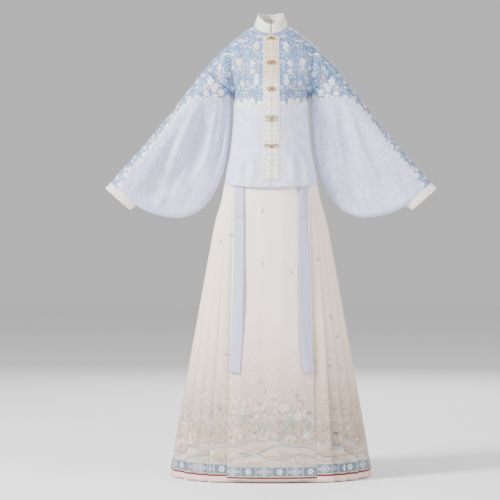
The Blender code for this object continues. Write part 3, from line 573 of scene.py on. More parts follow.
class ClothChart:
    """A cloth as rows of places on the dress, measured flat: across each row and along the rows."""

    def __init__(self, points: np.ndarray, along: np.ndarray | None = None, start: float = 0.0,
                 flip: bool = False, closed: bool = False) -> None:
        """Measures the cloth.

        Args:
            points: Rows of places, all of one count.
            along: Flat length at each row, or None for the mean length between rows.
            start: Flat width at the first column.
            flip: Whether the faces are turned, as on a mirrored cloth.
            closed: Whether the last column lies on the first, as on a tube.
        """
        self.points = points
        self.flip = flip
        self.closed = closed
        steps = np.linalg.norm(np.diff(points, axis=1), axis=2)
        self.across = start + np.concatenate([np.zeros((len(points), 1)), np.cumsum(steps, axis=1)], axis=1)
        rise = np.linalg.norm(np.diff(points, axis=0), axis=2).mean(axis=1)
        self.along = np.concatenate([[0], np.cumsum(rise)]) if along is None else np.asarray(along, float)
        self.tags: dict[str, np.ndarray] = {}
        ahead = np.gradient(points, axis=0)
        aside = np.gradient(points, axis=1)
        if closed:
            seam = points[:, 1] - points[:, -2]
            aside[:, 0], aside[:, -1] = seam, seam
        normals = np.cross(aside, ahead) * (-1 if flip else 1)
        self.normals = normals / np.maximum(np.linalg.norm(normals, axis=2, keepdims=True), 1e-12)

    def centre_across(self) -> "ClothChart":
        """Measures each row from its middle instead of its first column."""
        self.across = self.across - self.across[:, -1:] / 2
        return self

    def mesh(self, name: str) -> bpy.types.Mesh:
        """Makes the cloth's quads, with its flat measures as UV and its tags as attributes.

        Args:
            name: The mesh's name.

        Returns:
            The mesh.
        """
        rows, columns = self.points.shape[:2]
        kept = columns - 1 if self.closed else columns
        index = np.arange(rows * kept).reshape(rows, kept)
        if self.closed:
            index = np.concatenate([index, index[:, :1]], axis=1)
        flat = np.stack([self.across, np.broadcast_to(self.along[:, None], self.across.shape)], axis=-1)
        corners = (slice(None, -1), slice(None, -1)), (slice(None, -1), slice(1, None)), \
            (slice(1, None), slice(1, None)), (slice(1, None), slice(None, -1))
        order = corners[::-1] if self.flip else corners
        faces = np.stack([index[c] for c in order], axis=-1).reshape(-1, 4)
        places = np.stack([flat[c] for c in order], axis=-2).reshape(-1, 2)
        mesh = bpy.data.meshes.new(name)
        mesh.from_pydata(self.points[:, :kept].reshape(-1, 3).tolist(), [], faces.tolist())
        mesh.uv_layers.new(name=CLOTH_UV).data.foreach_set("uv", places.astype(np.float32).ravel())
        for tag, values in self.tags.items():
            layer = mesh.attributes.new(tag, "FLOAT", "POINT")
            layer.data.foreach_set("value", values[:, :kept].astype(np.float32).ravel())
        mesh.shade_smooth()
        return mesh

    def place(self, across: np.ndarray, along: np.ndarray, lift: np.ndarray | float) -> np.ndarray:
        """Places on the cloth.

        Args:
            across: Flat widths.
            along: Flat lengths.
            lift: How far off the cloth's middle, outward.

        Returns:
            A place for each pair of measures.
        """
        grid = np.concatenate([self.points, self.normals], axis=2)
        rows, columns = grid.shape[:2]
        row = np.interp(along, self.along, np.arange(rows))
        lower = np.clip(row.astype(int), 0, rows - 2)
        found = np.zeros((len(row), 6))
        for r in np.unique(lower):
            mine = lower == r
            pair = []
            for k in (r, r + 1):
                spot = np.interp(across[mine], self.across[k], np.arange(columns))
                left = np.clip(spot.astype(int), 0, columns - 2)
                share = (spot - left)[:, None]
                pair.append(grid[k, left] * (1 - share) + grid[k, left + 1] * share)
            share = (row[mine] - r)[:, None]
            found[mine] = pair[0] * (1 - share) + pair[1] * share
        return found[:, :3] + found[:, 3:] * np.broadcast_to(lift, row.shape)[:, None]

    def find(self, x: float, z: float, back: bool = False) -> Place:
        """Looks up a place on the cloth.

        Args:
            x: Its distance from the dress's middle, on either side.
            z: Its height.
            back: Whether it is seen from behind.

        Returns:
            The flat measures of the place nearest to it.
        """
        facing = self.normals[..., 1] * (1 if back else -1) > 0
        off = np.hypot(np.abs(self.points[..., 0]) - abs(x), self.points[..., 2] - z)
        off = np.where(facing, off, np.inf)
        r, c = np.unravel_index(int(off.argmin()), off.shape)
        return float(self.across[r, c]), float(self.along[r])


class Board:
    """A material's node tree, written a node at a time."""

    BLOSSOM_TURNS = 20.0
    LEAF_TURNS = 31.0
    SHEEN_ROUGHNESS = .35

    def __init__(self, name: str) -> None:
        """Starts a material.

        Args:
            name: The material's name.
        """
        self.material = bpy.data.materials.new(name)
        self.material.use_nodes = True
        self.tree = self.material.node_tree
        self.shader = self.tree.nodes["Principled BSDF"]

    def node(self, kind: str, inputs: dict, **settings: object) -> bpy.types.Node:
        """Adds a node, its kind without the ShaderNode prefix."""
        return add_node(self.tree, "ShaderNode" + kind, inputs, **settings)

    def math(self, operation: str, a: object, b: object = 0.0, c: object = 0.0) -> Socket:
        """The result of a sum on numbers."""
        return self.node("Math", {0: a, 1: b, 2: c}, operation=operation).outputs[0]

    def times(self, a: object, b: object) -> Socket:
        """Two numbers multiplied, such as two masks, or a mask and a share."""
        return self.math("MULTIPLY", a, b)

    def plus(self, a: object, b: object) -> Socket:
        """Two numbers added."""
        return self.math("ADD", a, b)

    def minus(self, a: object, b: object) -> Socket:
        """A number less another, such as a mask with another cut out."""
        return self.math("SUBTRACT", a, b)

    def either(self, a: object, b: object) -> Socket:
        """The greater of two numbers, such as two masks joined."""
        return self.math("MAXIMUM", a, b)

    def ramp(self, value: object, start: float, end: float, low: float = 0.0, high: float = 1.0) -> Socket:
        """A smooth ramp of a value between two edges."""
        inputs = {0: value, 1: start, 2: end, 3: low, 4: high}
        return self.node("MapRange", inputs, interpolation_type="SMOOTHSTEP").outputs[0]

    def mix(self, share: object, a: object, b: object) -> Socket:
        """Colour a turned into colour b by a share."""
        return self.node("Mix", {0: share, 6: a, 7: b}, data_type="RGBA").outputs[2]

    def paint(self, colour: object, mask: object, code: str, share: float = 1.0) -> Socket:
        """A tone painted over a colour where a mask is, thinned to a share."""
        return self.mix(mask if share == 1 else self.times(mask, share), colour, tone(code))

    def pick(self, lot: object, start: float, end: float, first: str, second: str) -> Socket:
        """One of two tones, by a cell's random number."""
        return self.mix(self.ramp(lot, start, end), tone(first), tone(second))

    def plane(self) -> Socket:
        """The cloth's flat measures as a vector."""
        return self.node("UVMap", {}, uv_map=CLOTH_UV).outputs[0]

    def parts(self, vector: Socket) -> tuple[Socket, Socket]:
        """The first two parts of a vector."""
        node = self.node("SeparateXYZ", {0: vector})
        return node.outputs[0], node.outputs[1]

    def tag(self, name: str) -> Socket:
        """A number kept on the mesh."""
        return self.node("Attribute", {}, attribute_name=name).outputs["Fac"]

    def noise(self, vector: object, size: float, detail: float = 2.0) -> Socket:
        """Soft noise from 0 to 1 with lumps of a size in metres."""
        return self.node("TexNoise", {"Vector": vector, "Scale": 1 / size, "Detail": detail}).outputs[0]

    def shifted(self, vector: object, by: float) -> Socket:
        """The vector moved, so that two layers don't line up."""
        return self.node("VectorMath", {0: vector, 1: (by, by * 1.7, 0.0)}, operation="ADD").outputs[0]

    def scatter(self, plane: object, pitch: float, shift: float = 0.0,
                looseness: float = .8) -> tuple[Socket, Socket]:
        """A loose scatter of cells.

        Args:
            plane: The cloth's flat measures.
            pitch: How far apart the cells are.
            shift: How far the layer is moved off the others.
            looseness: How unevenly the cells lie, from 0 to 1.

        Returns:
            The way from each cell's middle, and a random number for each cell.
        """
        plane = self.shifted(plane, shift) if shift else plane
        inputs = {"Vector": plane, "Scale": 1 / pitch, "Randomness": looseness}
        cells = self.node("TexVoronoi", inputs, voronoi_dimensions="2D")
        offset = self.node("VectorMath", {0: plane, 1: cells.outputs["Position"]}, operation="SUBTRACT")
        return offset.outputs[0], self.node("SeparateColor", {0: cells.outputs["Color"]}).outputs[0]

    def blossom(self, offset: object, lot: object, radius: float, petals: int = 5,
                depth: float = .34, soft: float = .0006) -> Socket:
        """Mask of a petalled flower.

        Args:
            offset: The way from its middle.
            lot: Its cell's random number, which turns it.
            radius: Its radius.
            petals: How many petals it has.
            depth: How deep they are cut, as a share of the radius.
            soft: Width of its soft edge.

        Returns:
            The mask.
        """
        x, y = self.parts(offset)
        size = self.node("VectorMath", {0: offset}, operation="LENGTH").outputs["Value"]
        angle = self.math("ARCTAN2", y, x)
        turn = self.math("MULTIPLY_ADD", angle, float(petals), self.times(lot, self.BLOSSOM_TURNS))
        half = radius * depth / 2
        edge = self.math("MULTIPLY_ADD", self.math("COSINE", turn), half, radius - half)
        return self.ramp(self.minus(edge, size), 0.0, soft)

    def leaf(self, offset: object, lot: object, length: float, width: float) -> Socket:
        """Mask of a pointed leaf.

        Args:
            offset: The way from its middle.
            lot: Its cell's random number, which turns it.
            length: Half of its length.
            width: Half of its width.

        Returns:
            The mask.
        """
        way = {"Vector": offset, "Angle": self.times(lot, self.LEAF_TURNS)}
        x, y = self.parts(self.node("VectorRotate", way, rotation_type="Z_AXIS").outputs[0])
        along = self.math("DIVIDE", x, length)
        edge = self.math("MULTIPLY_ADD", self.times(along, along), -width, width)
        return self.ramp(self.minus(edge, self.math("ABSOLUTE", y)), 0.0, .0005)

    def vine(self, plane: object, size: float, width: float) -> Socket:
        """Mask of thin winding lines, the level lines of a soft noise."""
        off = self.math("ABSOLUTE", self.minus(self.noise(plane, size, 1.0), .5))
        return self.ramp(off, width, width * .4)

    def band(self, value: object, low: float, high: float, soft: float = .0006) -> Socket:
        """Mask between two values."""
        return self.times(self.ramp(value, low - soft, low + soft),
                         self.ramp(value, high + soft, high - soft))

    def thread_height(self, plane: object, thread: float) -> Socket:
        """Height of a fine twill.

        Args:
            plane: The cloth's flat measures.
            thread: Width of a thread.

        Returns:
            The height, from -1 to 1.
        """
        x, y = self.parts(plane)
        warp = self.math("SINE", self.times(self.plus(x, y), TAU / thread))
        weft = self.math("SINE", self.times(y, TAU / thread))
        return self.math("MULTIPLY_ADD", warp, .5, self.times(weft, .5))

    def relief(self, height: object, depth: float, after: object = None) -> Socket:
        """A bump.

        Args:
            height: Its height.
            depth: How many metres a height of 1 stands for.
            after: The normal of an earlier bump.

        Returns:
            The normal.
        """
        inputs = {"Strength": 1.0, "Distance": depth, "Height": height}
        if after is not None:
            inputs["Normal"] = after
        return self.node("Bump", inputs).outputs[0]

    def dress(self, colour: object, normal: object, roughness: object, sheen: float = 0.0,
              metallic: float = 0.0, specular: float = .5) -> bpy.types.Material:
        """Finishes the surface.

        Args:
            colour: Its colour.
            normal: Its relief.
            roughness: Its roughness.
            sheen: Weight of the fuzz on it.
            metallic: How much of it is metal.
            specular: How strongly it reflects.

        Returns:
            The material.
        """
        surface = {"Base Color": colour, "Normal": normal, "Roughness": roughness, "Metallic": metallic,
                   "Specular IOR Level": specular, "Sheen Weight": sheen,
                   "Sheen Roughness": self.SHEEN_ROUGHNESS}
        for name, value in surface.items():
            feed(self.tree, self.shader.inputs[name], value)
        return self.material


@dataclass(frozen=True)
class DamaskFinish:
    """Satin damask of the jacket and sleeves: tonal flowers, and a blue printed yoke."""

    name: str
    ground: str = "D8DBF2"
    shade: str = "C6CBE8"
    flower: str = "E8EAF8"
    yoke: str = "5C79A8"
    yoke_light: str = "7893BE"
    thread: float = .0011
    flower_pitch: float = .052
    flower_radius: float = .0185

    def print_layer(self, board: Board, plane: object, ground: object) -> Socket:
        """The yoke's print: vines, leaves and blossoms on blue.

        Args:
            board: The material being made.
            plane: The cloth's flat measures.
            ground: The blue under the print.

        Returns:
            The printed colour.
        """
        colour = board.paint(ground, board.vine(plane, .030, .014), "A9BEDC")
        colour = board.paint(colour, board.vine(board.shifted(plane, .31), .052, .012), "52688F")
        leaf_at, leaf_lot = board.scatter(plane, .0150, .13)
        leaves = board.leaf(leaf_at, leaf_lot, .0062, .0021)
        colour = board.mix(leaves, colour, board.pick(leaf_lot, .45, .55, "A9BFAF", "A8A7CC"))
        small_at, small_lot = board.scatter(plane, .0125, .57)
        small = board.times(board.blossom(small_at, small_lot, .0028, 5), board.ramp(small_lot, .50, .52))
        colour = board.paint(colour, small, "D9DCDC")
        at, lot = board.scatter(plane, .0420)
        colour = board.paint(colour, board.blossom(at, lot, .0092, 5), "7F88AE")
        petals = board.blossom(at, lot, .0084, 5)
        colour = board.mix(petals, colour, board.pick(lot, .45, .55, "DFE1E4", "DDC3C0"))
        colour = board.paint(colour, board.blossom(at, lot, .0030, 6, .2), "DCC79A")
        dark_at, dark_lot = board.scatter(plane, .0420, .83)
        dark = board.times(board.leaf(dark_at, dark_lot, .0070, .0011), board.ramp(dark_lot, .60, .62))
        return board.paint(colour, dark, "93514C")

    def material(self) -> bpy.types.Material:
        """Makes the material.

        Returns:
            The damask.
        """
        board = Board(self.name)
        plane = board.plane()
        yoke = board.tag("yoke")
        at, lot = board.scatter(plane, self.flower_pitch, looseness=.6)
        flowers = board.blossom(at, lot, self.flower_radius, 5, .42, .0012)
        heart = board.blossom(at, lot, self.flower_radius * .45, 5, .42, .0008)
        leaf_at, leaf_lot = board.scatter(plane, .030, .41)
        leaves = board.leaf(leaf_at, leaf_lot, .0120, .0036)
        tonal = board.either(board.minus(flowers, heart), leaves)
        ground = board.mix(board.noise(plane, .060), tone(self.shade), tone(self.ground))
        ground = board.paint(ground, tonal, self.flower, .55)
        speck_at, speck_lot = board.scatter(plane, .0105, .23)
        specks = board.blossom(speck_at, speck_lot, .0034, 4)
        near = board.times(board.ramp(yoke, -.110, -.004, 0.0, .6), board.ramp(speck_lot, .30, .34))
        speck_tone = board.pick(speck_lot, .60, .70, "F4F3F0", "A9AFC4")
        ground = board.mix(board.times(specks, near), ground, speck_tone)
        blue = board.noise(board.shifted(plane, .7), .045, 3.0)
        blue = board.mix(blue, tone(self.yoke), tone(self.yoke_light))
        scallop_at, scallop_lot = board.scatter(plane, .0170, .05, .5)
        bloom = board.blossom(scallop_at, scallop_lot, .0076, 6)
        inside = board.ramp(board.math("MULTIPLY_ADD", bloom, .008, yoke), -.0006, .0006)
        colour = board.mix(inside, ground, self.print_layer(board, plane, blue))
        border = board.times(bloom, board.band(yoke, -.007, .006, .002))
        colour = board.mix(border, colour, board.pick(scallop_lot, .4, .6, "F1EFE4", "DDE2C6"))
        normal = board.relief(board.thread_height(plane, self.thread), .00006)
        normal = board.relief(board.noise(plane, .018, 3.0), .0006, normal)
        normal = board.relief(board.either(tonal, border), .00015, normal)
        roughness = board.ramp(tonal, 0.0, 1.0, .42, .56)
        return board.dress(colour, normal, roughness, .10, 0.0, .4)


@dataclass(frozen=True)
class BrocadeFinish:
    """Ivory brocade of the collar, cuffs and plackets."""

    name: str
    ground: str = "F2E9DD"
    tan: str = "CDB99A"
    mark: str = "A79A86"
    pitch: float = .0150

    def material(self) -> bpy.types.Material:
        """Makes the material.

        Returns:
            The brocade.
        """
        board = Board(self.name)
        plane = board.plane()
        at, lot = board.scatter(plane, self.pitch, looseness=.35)
        petals = board.blossom(at, lot, .0042, 4)
        colour = board.mix(board.noise(plane, .020), tone(self.ground), tone("F7F3EC"))
        colour = board.paint(colour, board.tag("tan"), self.tan, .8)
        colour = board.paint(colour, board.vine(plane, .012, .022), "B3A283", .60)
        colour = board.paint(colour, petals, self.mark, .60)
        colour = board.paint(colour, board.blossom(at, lot, .0014, 4), "C98F86", .6)
        normal = board.relief(board.thread_height(plane, .0009), .00006)
        normal = board.relief(petals, .00018, normal)
        return board.dress(colour, normal, board.ramp(petals, 0.0, 1.0, .58, .44), .2)


@dataclass(frozen=True)
class SkirtFinish:
    """Cream skirt cloth with its hem: a border band, a red line, waves and scattered blossoms."""

    name: str
    top: str = "FAEEEC"
    middle: str = "F2E0D6"
    low: str = "B09A88"
    band_low: float = .0110
    band_high: float = .0400
    line_low: float = .0045
    line_high: float = .0095
    panel_pitch: float = .0470
    wave_height: float = .0900
    scale_pitch: float = .0110

    def border(self, board: Board, width: object, height: object, colour: object) -> Socket:
        """The border band in squares, each with a white flower or lozenge.

        Args:
            board: The material being made.
            width: Flat width of the cloth.
            height: Height over the hem.
            colour: The colour so far.

        Returns:
            The colour with the band.
        """
        cell = board.math("DIVIDE", width, self.panel_pitch)
        inside = board.minus(board.math("FRACT", cell), .5)
        odd = board.ramp(board.math("FRACT", board.times(board.math("FLOOR", cell), .5)), .2, .3)
        x = board.times(inside, self.panel_pitch)
        y = board.minus(height, (self.band_low + self.band_high) / 2)
        spot = board.node("CombineXYZ", {0: x, 1: y}).outputs[0]
        flower = board.minus(board.blossom(spot, 0.0, .0105, 6), board.blossom(spot, 0.0, .0036, 6))
        reach = board.math("MULTIPLY_ADD", board.math("ABSOLUTE", x), .62, board.math("ABSOLUTE", y))
        lozenge = board.band(reach, -.01, .0040, .0004)
        for low, high in ((.0078, .0100), (.0125, .0136)):
            lozenge = board.either(lozenge, board.band(reach, low, high, .0004))
        motif = board.mix(odd, board.node("CombineColor", {0: flower, 1: flower, 2: flower}).outputs[0],
                          board.node("CombineColor", {0: lozenge, 1: lozenge, 2: lozenge}).outputs[0])
        share = board.node("SeparateColor", {0: motif}).outputs[0]
        rail = board.band(board.math("ABSOLUTE", x), self.panel_pitch / 2 - .0016, 1.0, .0004)
        rail = board.either(rail, board.band(height, self.band_low, self.band_low + .0016, .0003))
        rail = board.either(rail, board.band(height, self.band_high - .0020, self.band_high, .0003))
        blue = board.mix(board.noise(spot, .006), tone("596775"), tone("6E7B88"))
        blue = board.paint(board.paint(blue, share, "E8EBEA", .70), rail, "B4BEC4", .6)
        return board.mix(board.band(height, self.band_low, self.band_high, .0004), colour, blue)

    def waves(self, board: Board, width: object, height: object, colour: object) -> Socket:
        """Wave crests and scales over the border.

        Args:
            board: The material being made.
            width: Flat width of the cloth.
            height: Height over the hem.
            colour: The colour so far.

        Returns:
            The colour with the waves.
        """
        for lift, swing, turns, shift, code in ((0.0, .013, 24.0, .4, "5E6F86"),
                                                (.020, .010, 31.0, 2.1, "8794A2"),
                                                (-.022, .007, 43.0, 4.0, "8F877E")):
            crest = board.math("SINE", board.math("MULTIPLY_ADD", width, turns, shift))
            second = board.math("SINE", board.math("MULTIPLY_ADD", width, turns * 2.3, shift * 3))
            level = board.math("MULTIPLY_ADD", crest, swing, self.wave_height + lift)
            level = board.math("MULTIPLY_ADD", second, swing * .3, level)
            off = board.minus(height, level)
            colour = board.paint(colour, board.band(off, -.020, -.001, .004), "E6DED6", .20)
            colour = board.paint(colour, board.band(off, -.0014, .0014, .0005), code)
            colour = board.paint(colour, board.band(off, -.0052, -.0044, .0004), code, .7)
        row = board.math("DIVIDE", height, self.scale_pitch)
        rise = board.math("FRACT", row)
        shift = board.times(board.math("FLOOR", row), .5)
        across = board.plus(board.math("DIVIDE", width, 2 * self.scale_pitch), shift)
        across = board.minus(board.math("FRACT", across), .5)
        reach = board.math("MULTIPLY_ADD", across, across, board.times(rise, board.times(rise, .25)))
        scales = board.ramp(board.math("SINE", board.times(board.math("SQRT", reach), 38.0)), .55, .85)
        here = board.noise(board.node("CombineXYZ", {0: width}).outputs[0], .055)
        zone = board.times(board.band(height, self.band_high + .004, .078, .006), board.ramp(here, .50, .56))
        return board.paint(colour, board.times(scales, zone), "7E8A90", .75)

    def meadow(self, board: Board, plane: object, height: object, colour: object) -> Socket:
        """Blossoms, leaves and stems, which thin out upward.

        Args:
            board: The material being made.
            plane: The cloth's flat measures.
            height: Height over the hem.
            colour: The colour so far.

        Returns:
            The colour with the meadow.
        """
        zone = board.times(board.ramp(height, .085, .110), board.ramp(height, .300, .140))
        stems = board.times(board.vine(board.shifted(plane, .27), .060, .0055), board.ramp(zone, .10, .45))
        colour = board.paint(colour, stems, "6E625C", .95)
        for pitch, radius, petals, shift, rarity, first, second in (
                (.0240, .0062, 5, .11, .34, "6C7D95", "EDE2DC"),
                (.0190, .0040, 6, .47, .42, "8F9D98", "C48F86"),
                (.0120, .0020, 4, .77, .50, "655F66", "7F8B92")):
            at, lot = board.scatter(plane, pitch, shift)
            here = board.ramp(board.math("MULTIPLY_ADD", zone, 1 - rarity, lot), 1.0, 1.02)
            heart = board.times(board.blossom(at, lot, radius * .72, petals), .7)
            ring = board.minus(board.blossom(at, lot, radius, petals), heart)
            colour = board.mix(board.times(ring, here), colour, board.pick(lot, .7, .8, first, second))
        for pitch, length, width, shift, rarity, code in ((.0170, .0058, .0016, .29, .38, "7F9080"),
                                                          (.0260, .0090, .0014, .61, .50, "717C92"),
                                                          (.0520, .0100, .0012, .93, .55, "7E2F28")):
            at, lot = board.scatter(plane, pitch, shift)
            here = board.ramp(board.math("MULTIPLY_ADD", zone, 1 - rarity, lot), 1.0, 1.02)
            colour = board.paint(colour, board.times(board.leaf(at, lot, length, width), here), code)
        at, lot = board.scatter(plane, .095, .37)
        sprigs = board.either(board.leaf(at, lot, .0130, .0016), board.blossom(at, lot, .0050, 5))
        here = board.times(board.ramp(lot, .50, .52), board.ramp(height, .200, .260))
        return board.paint(colour, board.times(sprigs, here), "857C80", .8)

    def material(self) -> bpy.types.Material:
        """Makes the material.

        Returns:
            The skirt cloth.
        """
        board = Board(self.name)
        plane = board.plane()
        width, height = board.parts(plane)
        colour = board.mix(board.ramp(height, .10, .52), tone(self.low), tone(self.middle))
        colour = board.paint(colour, board.ramp(height, .45, .90), self.top)
        at, lot = board.scatter(plane, .060, .43, .5)
        tonal = board.minus(board.blossom(at, lot, .021, 5, .42, .0012), board.blossom(at, lot, .011, 5))
        colour = board.paint(colour, tonal, "F6F1EC", .22)
        colour = board.paint(colour, board.noise(plane, .045, 3.0), "E7CFC2", .18)
        # Painted shade: the fold tag darkens the pleats' valleys, beside each crest, to a warm brown
        colour = board.paint(colour, board.tag("fold"), "A08B78", .55)
        colour = self.meadow(board, plane, height, colour)
        colour = self.waves(board, width, height, colour)
        colour = self.border(board, width, height, colour)
        colour = board.paint(colour, board.band(height, -1.0, self.line_low, .0003), "E3C3B8")
        colour = board.paint(colour, board.band(height, self.line_low, self.line_high, .0003), "6A2624")
        normal = board.relief(board.thread_height(plane, .0012), .00007)
        normal = board.relief(board.noise(plane, .025, 3.0), .0007, normal)
        normal = board.relief(tonal, .00012, normal)
        return board.dress(colour, normal, .62, .25, 0.0, .3)


@dataclass(frozen=True)
class PlainFinish:
    """A plain woven cloth or thread."""

    name: str
    ground: str
    light: str
    thread: float = .0009
    roughness: float = .6

    def material(self) -> bpy.types.Material:
        """Makes the material.

        Returns:
            The cloth.
        """
        board = Board(self.name)
        plane = board.plane()
        colour = board.mix(board.noise(plane, .030, 3.0), tone(self.ground), tone(self.light))
        rib = board.math("SINE", board.times(board.parts(plane)[1], TAU / self.thread))
        normal = board.relief(rib, .00008)
        normal = board.relief(board.noise(plane, .015, 3.0), .0005, normal)
        return board.dress(colour, normal, self.roughness, .3)


@dataclass(frozen=True)
class CordFinish:
    """Twisted thread of the piping and stitches, patterned on the piece's own measures."""

    name: str
    ground: str
    light: str
    roughness: float = .5

    def material(self) -> bpy.types.Material:
        """Makes the material.

        Returns:
            The thread.
        """
        board = Board(self.name)
        spot = board.node("TexCoord", {}).outputs["Object"]
        colour = board.mix(board.noise(spot, .004), tone(self.ground), tone(self.light))
        normal = board.relief(board.noise(spot, .0008), .0002)
        return board.dress(colour, normal, self.roughness, .2)


@dataclass(frozen=True)
class GiltFinish:
    """Aged gilt metal, darker and brighter in random patches."""

    name: str
    bright: str = "C9A66A"
    dull: str = "8A6E45"

    def material(self) -> bpy.types.Material:
        """Makes the material.

        Returns:
            The metal.
        """
        board = Board(self.name)
        spot = board.node("TexCoord", {}).outputs["Object"]
        wear = board.noise(spot, .0030, 3.0)
        colour = board.mix(board.ramp(wear, .35, .65), tone(self.dull), tone(self.bright))
        normal = board.relief(board.noise(spot, .0012), .0002)
        return board.dress(colour, normal, board.ramp(wear, .3, .7, .42, .28), 0.0, 1.0)


class Needlework:
    """Raised woven figures on a cloth, drawn in the cloth's flat measures as narrow strips."""

    LIFT = .0009
    CROWN = .0006
    PETAL_POINTS = 6
    SPRAY_POINTS = 10
    CLOUD_POINTS = 16
    CURLS = (((-.42, 0), .34, 0, 1), ((.42, 0), .34, math.pi, -1), ((0, .36), .42, -.6, 1))

    def __init__(self, chart: ClothChart) -> None:
        """Starts an empty piece of needlework.

        Args:
            chart: The cloth that carries it.
        """
        self.chart = chart
        self.places: list[np.ndarray] = []
        self.faces: list[np.ndarray] = []
        self.tints: list[Colour] = []
        self.count = 0

    def strip(self, path: np.ndarray, widths: np.ndarray, tint: Colour) -> None:
        """Adds a strip that is crowned along its middle.

        Args:
            path: Flat places along its middle.
            widths: Half width at each of them.
            tint: Its colour.
        """
        run = np.gradient(path, axis=0)
        aside = np.stack([run[:, 1], -run[:, 0]], axis=1)
        aside /= np.maximum(np.linalg.norm(aside, axis=1, keepdims=True), 1e-9)
        flat = np.stack([path - aside * widths[:, None], path, path + aside * widths[:, None]], axis=1)
        lift = np.array([0, self.CROWN, 0]) + self.LIFT
        spots = self.chart.place(flat[..., 0].ravel(), flat[..., 1].ravel(), np.tile(lift, len(path)))
        index = self.count + np.arange(len(spots)).reshape(len(path), 3)
        quads = np.stack([index[:-1, :-1], index[:-1, 1:], index[1:, 1:], index[1:, :-1]], axis=-1)
        quads = quads.reshape(-1, 4)
        facing = np.cross(spots[1] - spots[0], spots[3] - spots[0])
        across, along = flat[0, 1:2].T
        outward = self.chart.place(across, along, 1.0) - self.chart.place(across, along, 0.0)
        if float(facing @ outward[0]) < 0:
            quads = quads[:, ::-1]
        self.places.append(spots)
        self.faces.append(quads)
        self.tints.extend([tint] * len(quads))
        self.count += len(spots)

    def petal(self, at: Place, angle: float, reach: float, width: float, tint: Colour,
              start: float = .15) -> None:
        """Adds a petal or a leaf.

        Args:
            at: The flat place that it grows from.
            angle: Its heading.
            reach: How far its tip is from there.
            width: Half of its width.
            tint: Its colour.
            start: Where it begins, as a share of the reach.
        """
        shares = np.linspace(start, 1, self.PETAL_POINTS)
        path = np.array(at) + headings(angle) * shares[:, None] * reach
        self.strip(path, width * np.sin(np.pi * np.linspace(.12, .97, self.PETAL_POINTS)) ** .7, tint)

    def blossom(self, at: Place, radius: float, turn: float, tint: Colour, heart: Colour,
                petals: int = 5) -> None:
        """Adds a flower with a raised heart.

        Args:
            at: Its flat place.
            radius: Its radius.
            turn: How it is turned.
            tint: Colour of its petals.
            heart: Colour of its heart.
            petals: How many petals it has.
        """
        for k in range(petals):
            self.petal(at, turn + TAU * k / petals, radius, radius * .34, tint)
        for k in range(3):
            self.petal(at, turn + TAU * (k + .5) / 3, radius * .32, radius * .12, heart, -.3)

    def spray(self, at: Place, turn: float, length: float, stem: Colour, leaves: Colour, bud: Colour) -> None:
        """Adds a curved stem with paired leaves and a bud at its tip.

        Args:
            at: The flat place that it grows from.
            turn: Its first heading.
            length: Length of its stem.
            stem: Colour of its stem.
            leaves: Colour of its leaves.
            bud: Colour of its bud.
        """
        bend = turn + np.linspace(0, 1, self.SPRAY_POINTS) * .9
        path = np.array(at) + np.cumsum(headings(bend), axis=0) * length / self.SPRAY_POINTS
        self.strip(path, np.linspace(.0009, .0005, self.SPRAY_POINTS), stem)
        for k in range(1, self.SPRAY_POINTS - 1):
            side = 1 if k % 2 else -1
            reach = length * (.26 - .012 * k)
            self.petal(tuple(path[k]), bend[k] + side * .9, reach, length * .045, leaves, 0.0)
        self.blossom(tuple(path[-1]), length * .11, turn, bud, stem)

    def cloud(self, at: Place, size: float, turn: float, tint: Colour, edge: Colour) -> None:
        """Adds a cloud head of three curls with a trailing tail.

        Args:
            at: Its flat place.
            size: Half of its width.
            turn: How it is turned.
            tint: Colour of its curls.
            edge: Colour of its tail.
        """
        share = np.linspace(0, 1, self.CLOUD_POINTS)
        for centre, radius, start, way in self.CURLS:
            reach = radius * (1 - .62 * share)
            curl = np.array(centre) + headings(start + way * share * 4.6) * reach[:, None]
            self.strip(np.array(at) + turned(curl * size, turn), size * (.075 - .040 * share), tint)
        tail = np.stack([.3 + 1.9 * share, -.32 + .12 * np.sin(5 * share)], axis=1)
        self.strip(np.array(at) + turned(tail * size, turn), size * (.070 - .055 * share), edge)

    def object(self, name: str, material: bpy.types.Material) -> bpy.types.Object:
        """Makes the needlework one mesh, its tints kept on its faces.

        Args:
            name: The piece's name.
            material: Its thread.

        Returns:
            The piece.
        """
        mesh = bpy.data.meshes.new(name)
        mesh.from_pydata(np.concatenate(self.places).tolist(), [], np.concatenate(self.faces).tolist())
        layer = mesh.color_attributes.new("tint", "FLOAT_COLOR", "CORNER")
        layer.data.foreach_set("color", np.repeat(np.array(self.tints, np.float32), 4, axis=0).ravel())
        mesh.materials.append(material)
        mesh.shade_smooth()
        return add_object(name, mesh)


@dataclass(frozen=True)
class SilkFinish:
    """Stitched silk, in the tint kept on each face."""

    name: str = "silk_needlework"

    def material(self) -> bpy.types.Material:
        """Makes the material.

        Returns:
            The silk.
        """
        board = Board(self.name)
        spot = board.node("TexCoord", {}).outputs["Object"]
        tint = board.node("Attribute", {}, attribute_name="tint").outputs["Color"]
        colour = board.paint(tint, board.noise(spot, .0030), "F5F2EC", .22)
        normal = board.relief(board.noise(spot, .0009), .00025)
        return board.dress(colour, normal, .42, .3)


